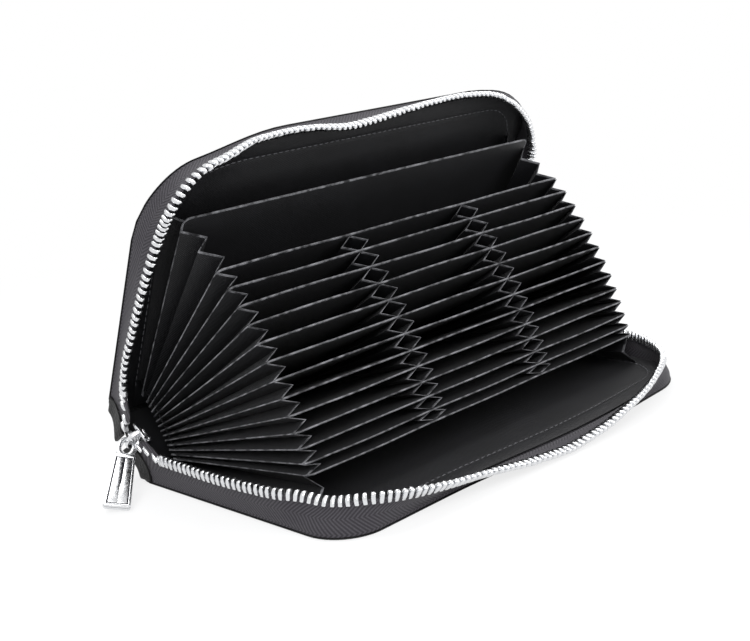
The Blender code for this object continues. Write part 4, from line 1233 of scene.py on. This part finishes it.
class WALLET_OT_zip_teeth(Operator):
    """Rows of metal teeth clamped on the edges of the tapes"""

    bl_idname = "wallet.zip_teeth"
    bl_label = "Zip teeth"

    def execute(self, context):
        unit = tooth_unit()
        last = zip_runs()[-1] - ZIP_END
        every = {side: tooth_runs(side, FIRST_TOOTH[side], last) for side in COVERS}
        for side, name, start, end, motion, stands_for in zip_pieces():
            rail = list(tooth_rail(side, [run for run in every[side] if start <= run < end]))
            made = repeated(f"{side}_teeth_{name}", rail, unit, "chrome", seed=7, jitter=math.radians(2.5))
            fitted(made, "zip_metal", motion, *(f"{side}_zip_teeth_{part}" for part in stands_for))
        bpy.data.objects.remove(unit, do_unlink=True)
        return {"FINISHED"}


# Stitches

def stitch_unit(long, wide):
    """One stitch: a short thread that dips at both ends, along X."""
    sections = []
    for share in steps(-0.5, 0.5, 6):
        swell = max(math.cos(share * math.pi) ** 0.5, 0.3) if abs(share) < 0.5 else 0.3
        lift = wide * (0.3 * math.cos(share * math.pi) - 0.15)
        sections.append([Vector((share * long, y * swell, z * swell + lift)) for y, z in oval(wide, wide * 0.8, 6)])
    return Shape().loft(sections).made("stitch_unit", "thread", smooth=60)


def line_rail(points, up, pitch):
    """Places a pitch apart along a line of points."""
    found, left = [], pitch / 2
    for here, there in zip(points, points[1:]):
        step = there - here
        while left <= step.length:
            found.append((here + step.normalized() * left, step.normalized(), up))
            left += pitch
        left -= step.length
    return found


class WALLET_OT_stitches(Operator):
    """Sewing lines on the linings and round the leather covers"""

    bl_idname = "wallet.stitches"
    bl_label = "Stitches"

    def execute(self, context):
        s = sizes()
        start, stitch_share, thread = s.fold + 4 * MM, 0.72, 0.42 * MM
        rows = (("lining", "lining", s.zip_inset + s.tape / 2 + 7.4 * MM, LINING_HIGH, 1),
                ("cover", "leather", 2.7 * MM, 0.1 * MM, -1))
        unit = stitch_unit(s.stitch_pitch * stitch_share, thread)
        for side, place in COVERS.items():
            for kind, slot, inset, height, sign in rows:
                line = [place.at(x, max(out, start), height) for x, out in cover_line(inset, s.fold)]
                made = repeated(f"{side}_{kind}_stitches", line_rail(line, place.up * sign, s.stitch_pitch),
                                unit, "thread")
                fitted(made, slot, f"{side}_cover")
        bpy.data.objects.remove(unit, do_unlink=True)
        return {"FINISHED"}


# Tabs, stops, slider and puller

def slider_place(along, across, out):
    """The slider's own axes: along the zip away from the spine, across it to the rear cover, and out of the end."""
    turn = Matrix.Rotation(-sizes().slider_turn, 3, "X")
    return SLIDER + SLIDER_SAG + turn @ (SPINE.out * along + SPINE.up * across) + Vector((-out, 0, 0))


class WALLET_OT_tabs_and_stops(Operator):
    """Leather tabs over the tapes' ends, and the metal stops of the zip"""

    bl_idname = "wallet.tabs_and_stops"
    bl_label = "Tabs and stops"

    def near_tab(self, side):
        """Leather folded over the tape beside the slider, thinner at its edges."""
        heights = [height * MM for height in (-0.4, 0.6, 1.8, 3.2, 4.8, 6.4, 8.0, 9.4, 10.4)]
        runs = [run * MM for run in (1.6, 1.8, 2.6, 3.7, 4.8, 6, 7, 7.6, 7.8)]
        end_share, outside, edge_outside, thickness = 0.55, 0.8, 0.55, 1.1
        sections = []
        for run in runs:
            thin = (end_share if run in (runs[0], runs[-1]) else 1.0) * MM
            outer = [(sizes().tape / 2 + foot_bulge(h)
                      + thin * (edge_outside if h in (heights[0], heights[-1]) else outside), h) for h in heights]
            loop = outer + [(across - thin * thickness, h) for across, h in reversed(outer)]
            sections.append([zip_spot(side, run, across, h) for across, h in loop])
        made = Shape().loft(sections).made(f"{side}_near_leather_tab", "leather", smooth=60)
        fitted(made, "leather", ("spine", f"{side}_cover", *gather_line(side)), f"near_tab_{side}")

    def execute(self, context):
        for side in COVERS:
            self.near_tab(side)
        stop = patch("bottom_clip", "chrome", [(-6.3, -2.4), (-5.1, -2.4), (-5.1, 2.4), (-6.3, 2.4)],
                     slider_place, -1.2, 1.2, 0.3)
        fitted(stop, "zip_metal", "spine", "bottom_stop")
        end = zip_runs()[-1]
        low, high = SEAT / MM - 0.2, SEAT / MM + 3.1
        clip = [(-8.6, low), (-5.8, low), (-5.8, high), (-8.6, high)]
        tab = [(-8.8, 1.6), (-4.0, 1.6), (-4.0, 6.0), (-5.0, 7.5), (-8.8, 7.6)]
        for side in COVERS:
            at_end = lambda run, height, across: zip_spot(side, end + run, across, height)
            made = patch(f"{side}_end_clip", "chrome", clip, at_end, -1.25, 1.25, 0.45)
            fitted(made, "zip_metal", f"{side}_cover", f"{side}_top_stop")
            made = patch(f"{side}_far_leather_tab", "leather", tab, at_end, -0.75, 0.9, 0.3)
            fitted(made, "leather", f"{side}_cover", f"{side}_far_tab")
        return {"FINISHED"}


class WALLET_OT_slider(Operator):
    """Zip slider: a star-shaped outer plate, a shield-shaped inner plate, and the arch that holds the puller"""

    bl_idname = "wallet.slider"
    bl_label = "Slider"

    def execute(self, context):
        high = SLIDER_HALF
        star = [(-4.6, 1.5), (-4.0, 2.3), (-2.0, 2.4), (-0.9, 5.1), (0.1, 4.9), (1.3, 2.1), (3.3, 1.7), (4.2, 3.5),
                (4.9, 3.3), (5.0, 0.6)]
        shield = [(-4.5, 2.4), (-3.7, 3.0), (-1.6, 3.1), (-0.4, 3.1), (0.6, 3.0), (1.1, 2.5), (1.2, 1.8), (0.9, 0.8)]
        post = [(-2.0, 0.0), (-0.6, 0.7), (0.8, 0.7), (0.8, -0.7), (-0.6, -0.7)]
        rim, wide = [(-4.0, 2.75), (-1.6, 2.9), (-0.4, 2.9), (0.5, 2.8)], 0.75
        pieces = [("slider_outer_plate", mirrored(star), high - 1.05, high, 0.26),
                  ("slider_inner_plate", mirrored(shield), -high, 1.1 - high, 0.26)]
        for sign in (1, -1):
            line = [(u, sign * v) for u, v in rim] + [(u, sign * (v - wide)) for u, v in reversed(rim)]
            pieces.append(("slider_rim", line, 1.0 - high, 1.75 - high, 0.15))
        pieces.append(("slider_post", post, 0.5 - high, high - 0.5, 0.2))
        plates = [patch(name, "chrome", outline, slider_place, *rest) for name, outline, *rest in pieces]
        fitted(joined("zip_slider", plates), "zip_metal", "slider", "slider_body")
        self.bridge()
        return {"FINISHED"}

    def bridge(self):
        """The arch along the slider, with four prongs that spread on the plate."""
        base, top, half_span = SLIDER_HALF - 0.1, SLIDER_HALF + 2.9, 4.1
        foot_wide, crown_wide, thick = 2.2, 1.5, 1.25
        arch = [(half_span * share, base + (top - base) * (1 - abs(share) ** 3.2)) for share in steps(-1, 1, 16)]
        sections = []
        for number, (along, out) in enumerate(arch):
            before, after = arch[max(0, number - 1)], arch[min(len(arch) - 1, number + 1)]
            tangent = Vector((after[0] - before[0], after[1] - before[1])).normalized()
            wide = foot_wide - (foot_wide - crown_wide) * (1 - (along / half_span) ** 2)
            points = [(along - tangent.y * q, p, out + tangent.x * q) for p, q in oval(wide, thick, 12, 0.7)]
            sections.append([slider_place(*point) for point in metres(points)])
        parts = [Shape().loft(sections).made("bridge_arch", "chrome", smooth=60)]
        prong = [(4.3, 0.0), (4.3, 1.0), (2.2, 1.5), (0.7, 4.1), (0.1, 4.0), (0.7, 1.2), (1.6, 0.0)]
        for end, side in ((-1, -1), (-1, 1), (1, -1), (1, 1)):
            parts.append(patch("bridge_prong", "chrome", [(end * u, side * v) for u, v in prong], slider_place,
                               base + 0.05, base + 0.7, 0.2))
        fitted(joined("crossed_bridge", parts), "zip_metal", "slider", "slider_bridge")


class WALLET_OT_puller(Operator):
    """Puller: a flat plate with an eye that hangs on the bridge, and a raised border round two raised panels"""

    bl_idname = "wallet.puller"
    bl_label = "Puller"

    def execute(self, context):
        s = sizes()
        swing, tilt, roll = s.puller_swing, s.puller_tilt, s.puller_roll
        hanging = math.cos(swing) * Vector((-1, 0, 0)) - math.sin(swing) * SPINE.up
        sideways = SPINE.out.cross(hanging)
        along = math.cos(tilt) * hanging + math.sin(tilt) * SPINE.out
        tilted = math.cos(tilt) * SPINE.out - math.sin(tilt) * hanging
        face = math.cos(roll) * tilted + math.sin(roll) * sideways
        wide = face.cross(along)
        pivot = Vector(JOINTS["puller_swing"]["pos_m"]) + SLIDER_SAG
        place = lambda r, w, n: pivot + along * r + wide * w + face * n

        # Millimetres: the blade widens from its neck to its tip, and its faces are sunk inside a rim
        half, neck, tip, neck_end, end = 1.1, 3.7, 4.5, 6.5, s.puller_length / MM
        corner, rim, sunk = 0.7, 0.95, 0.45
        rooted = 0.1  # how far the border and the panels stand in the core
        blade = [(neck_end - 0.5, neck - 0.3), (end - corner, tip), (end, tip - corner)]
        core = [(r, w - 0.05) for r, w in blade[:2]] + [(end - 0.1, tip - corner)]
        # The core shows in the grooves between the raised parts, so it takes the groove's painted shade
        parts = [patch("puller_core", "recess", mirrored(core), place, sunk - half, half - sunk, 0.05)]
        start, finish = neck_end + rim, end - rim
        narrow = neck + (tip - neck) * rim / (end - neck_end) - rim
        inner = [(start, narrow), (finish, tip - rim), (finish, tip - rim)]
        gap, groove, slit = 0.4, 0.3, 0.02
        first, last, slit_length, slit_run = start + gap, finish - gap, 7, 9
        for sign in (-1, 1):
            lines = [metres(mirrored(line)) for line in (blade, blade, inner, inner)]
            sections = [[place(r, w, sign * level * MM) for r, w in line]
                        for line, level in zip(lines, (0.0, half, half, half - sunk - rooted))]
            border = Shape().loft(sections, lines, ring=True).made("puller_border", "puller_metal")
            parts.append(rounded(border, 0.14, 2))
            low, high = sorted((sign * (half - sunk - rooted), sign * (half - 0.06)))
            for side in (-1, 1):
                panel = [(first, groove), (first, narrow - gap), (last, tip - rim - gap), (last, slit),
                         (last - slit_length, slit), (last - slit_run, groove)]
                panel = [(r, side * w) for r, w in panel]
                parts.append(patch("puller_panel", "puller_metal", panel, place, low, high, 0.1))
        parts.append(self.eye(place))
        fitted(joined("zip_puller", parts), "zip_metal", "puller", "puller")
        return {"FINISHED"}

    def eye(self, place):
        """The ring at the puller's root: squarish towards the blade, with a plain oval hole."""
        centre, thick, soft = 2.2 * MM, 0.75, 0.22
        rounds = ((4.35, 3.4, soft - thick, 0.55), (4.35, 3.4, thick - soft, 0.55), (4.13, 3.18, thick, 0.55),
                  (3.3, 1.95, thick, 1.0), (3.1, 1.75, thick - soft, 1.0), (3.1, 1.75, soft - thick, 1.0),
                  (3.3, 1.95, -thick, 1.0), (4.13, 3.18, -thick, 0.55))
        lines = []
        for long, broad, level, squareness in rounds:
            filled, plain = (metres(oval(2 * long, 2 * broad, 32, power)) for power in (squareness, 1.0))
            lines.append([(centre + r, w) for r, w in (a if b[0] > 0 else b for a, b in zip(filled, plain))])
        sections = [[place(r, w, level * MM) for r, w in line] for line, (_, _, level, _) in zip(lines, rounds)]
        return Shape().loft(sections, lines, ring=True).made("puller_eye", "puller_metal", smooth=50)


# Stage

CAMERA_PLACE = (-334.75 * MM, -312.52 * MM, 159.33 * MM)
CAMERA_AZIMUTH, CAMERA_ELEVATION, CAMERA_ROLL = 44.610, 14.499, -5.146
CAMERA_LENS, SENSOR_WIDTH = 62.66, 36.0
WHITE = (1, 1, 1, 1)
FLOOR_HALF, FLOOR_DROP = 3, 0.2 * MM  # the floor lies a hair under the wallet, so that the two don't flicker
LAMP_TARGET = Vector((0.0, 0.0, 0.04))
LAMPS = (  # name, place, width, height and power
    ("key_softbox", (-0.75, -0.55, 0.85), 0.6, 0.6, 9.0),
    ("fill_softbox", (0.6, -0.9, 0.5), 0.8, 0.6, 4.5),
    ("top_softbox", (0.1, 0.35, 1.1), 0.9, 0.5, 7.0),
)


def background_rays(tree):
    """1 for the rays that see the white background itself, in the picture, in a reflection or through glass."""
    rays = node(tree, "ShaderNodeLightPath").outputs
    seen = node(tree, "ShaderNodeMath", (rays["Is Camera Ray"], rays["Is Glossy Ray"]), operation="MAXIMUM")
    return node(tree, "ShaderNodeMath", (seen, rays["Is Transmission Ray"]), operation="MAXIMUM")


def floor_material():
    """Matt white studio paper: a pale sheet that takes a soft shadow beside the wallet and is white further off."""
    made, tree, shader = new_material("matt_studio_paper", {
        "Base Color": (*colours().floor, 1.0), "Roughness": 0.95, "Specular IOR Level": 0.1})
    place = node(tree, "ShaderNodeTexCoord").outputs["Object"]
    reach = node(tree, "ShaderNodeVectorMath", (place,), operation="LENGTH").outputs["Value"]
    white = node(tree, "ShaderNodeMapRange", (reach, 0.16, 0.42, 0.78), interpolation_type="SMOOTHSTEP")
    share = node(tree, "ShaderNodeMath", (background_rays(tree), white), operation="MULTIPLY")
    glow = node(tree, "ShaderNodeEmission", (WHITE, 1.0))
    both = node(tree, "ShaderNodeMixShader", (share, shader, glow))
    wired(tree, tree.nodes["Material Output"], {"Surface": both})
    return made


class WALLET_OT_stage(Operator):
    """Camera at the photograph's angle, pale floor and soft studio lamps"""

    bl_idname = "wallet.stage"
    bl_label = "Stage"

    def execute(self, context):
        scene = bpy.context.scene
        camera = placed("photo_camera", bpy.data.cameras.new("photo_camera"))
        camera.data.lens, camera.data.sensor_width = CAMERA_LENS, SENSOR_WIDTH
        camera.data.clip_start, camera.data.clip_end = 10 * MM, 20.0
        azimuth, elevation, roll = (math.radians(a) for a in (CAMERA_AZIMUTH, CAMERA_ELEVATION, CAMERA_ROLL))
        forward = Vector((math.sin(azimuth) * math.cos(elevation), math.cos(azimuth) * math.cos(elevation),
                          -math.sin(elevation)))
        level = Vector((math.cos(azimuth), -math.sin(azimuth), 0))
        right = level * math.cos(roll) + level.cross(forward) * math.sin(roll)
        turn = Matrix((right, right.cross(forward), -forward)).transposed()
        camera.matrix_world = Matrix.Translation(CAMERA_PLACE) @ turn.to_4x4()
        scene.camera = camera

        mesh = bpy.data.meshes.new("studio_floor")
        corners = [(x * FLOOR_HALF, y * FLOOR_HALF, -FLOOR_DROP) for x, y in ((-1, -1), (1, -1), (1, 1), (-1, 1))]
        mesh.from_pydata(corners, [], [(0, 1, 2, 3)])
        mesh.materials.append(floor_material())
        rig.stage(placed("studio_floor", mesh))

        scene.world = bpy.data.worlds.new("studio_world")
        scene.world.use_nodes = True
        tree = scene.world.node_tree
        tree.nodes.clear()
        soft = node(tree, "ShaderNodeBackground", ((0.92, 0.95, 1.0, 1), 0.55))
        white = node(tree, "ShaderNodeBackground", (WHITE, 1.0))
        both = node(tree, "ShaderNodeMixShader", (background_rays(tree), soft, white))
        node(tree, "ShaderNodeOutputWorld", {"Surface": both})

        for name, place, width, height, power in LAMPS:
            lamp = placed(name, bpy.data.lights.new(name, "AREA"))
            lamp.data.shape, lamp.data.size, lamp.data.size_y = "RECTANGLE", width, height
            lamp.data.energy = power
            lamp.location = place
            lamp.rotation_mode = "QUATERNION"
            lamp.rotation_quaternion = (LAMP_TARGET - Vector(place)).to_track_quat("-Z", "Y")
        scene.view_settings.view_transform = "Standard"
        return {"FINISHED"}


# The add-on

STEPS = (
    WALLET_OT_stage,
    WALLET_OT_leather_shell,
    WALLET_OT_boards,
    WALLET_OT_linings,
    WALLET_OT_leaves,
    WALLET_OT_gussets,
    WALLET_OT_zip_tapes,
    WALLET_OT_zip_teeth,
    WALLET_OT_stitches,
    WALLET_OT_tabs_and_stops,
    WALLET_OT_slider,
    WALLET_OT_puller,
)


class VIEW3D_PT_wallet(Panel):
    """Lists the wallet's sizes, colours and pieces"""

    bl_label = "Zip Wallet"
    bl_space_type = "VIEW_3D"
    bl_region_type = "UI"
    bl_category = "Wallet"

    def draw(self, context):
        for step in STEPS:
            self.layout.operator(step.bl_idname)
        for group in (context.scene.wallet_sizes, context.scene.wallet_colours):
            box = self.layout.box()
            for key in group.__annotations__:
                box.prop(group, key)


CLASSES = (WalletSizes, WalletColours, *STEPS, VIEW3D_PT_wallet)


def register():
    for item in CLASSES:
        bpy.utils.register_class(item)
    bpy.types.Scene.wallet_sizes = PointerProperty(type=WalletSizes)
    bpy.types.Scene.wallet_colours = PointerProperty(type=WalletColours)


def unregister():
    del bpy.types.Scene.wallet_colours
    del bpy.types.Scene.wallet_sizes
    for item in reversed(CLASSES):
        bpy.utils.unregister_class(item)


def main():
    """Registers the add-on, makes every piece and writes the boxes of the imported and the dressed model."""
    register()
    for step in STEPS:
        group, name = step.bl_idname.split(".")
        getattr(getattr(bpy.ops, group), name)()
    boxes = {"cad": [list(corner) for corner in CAD_BOX], "visual": [list(corner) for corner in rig.bounds()]}
    with open(SIZE_FILE, "w") as file:
        json.dump(boxes, file)


if __name__ == "__main__":
    main()
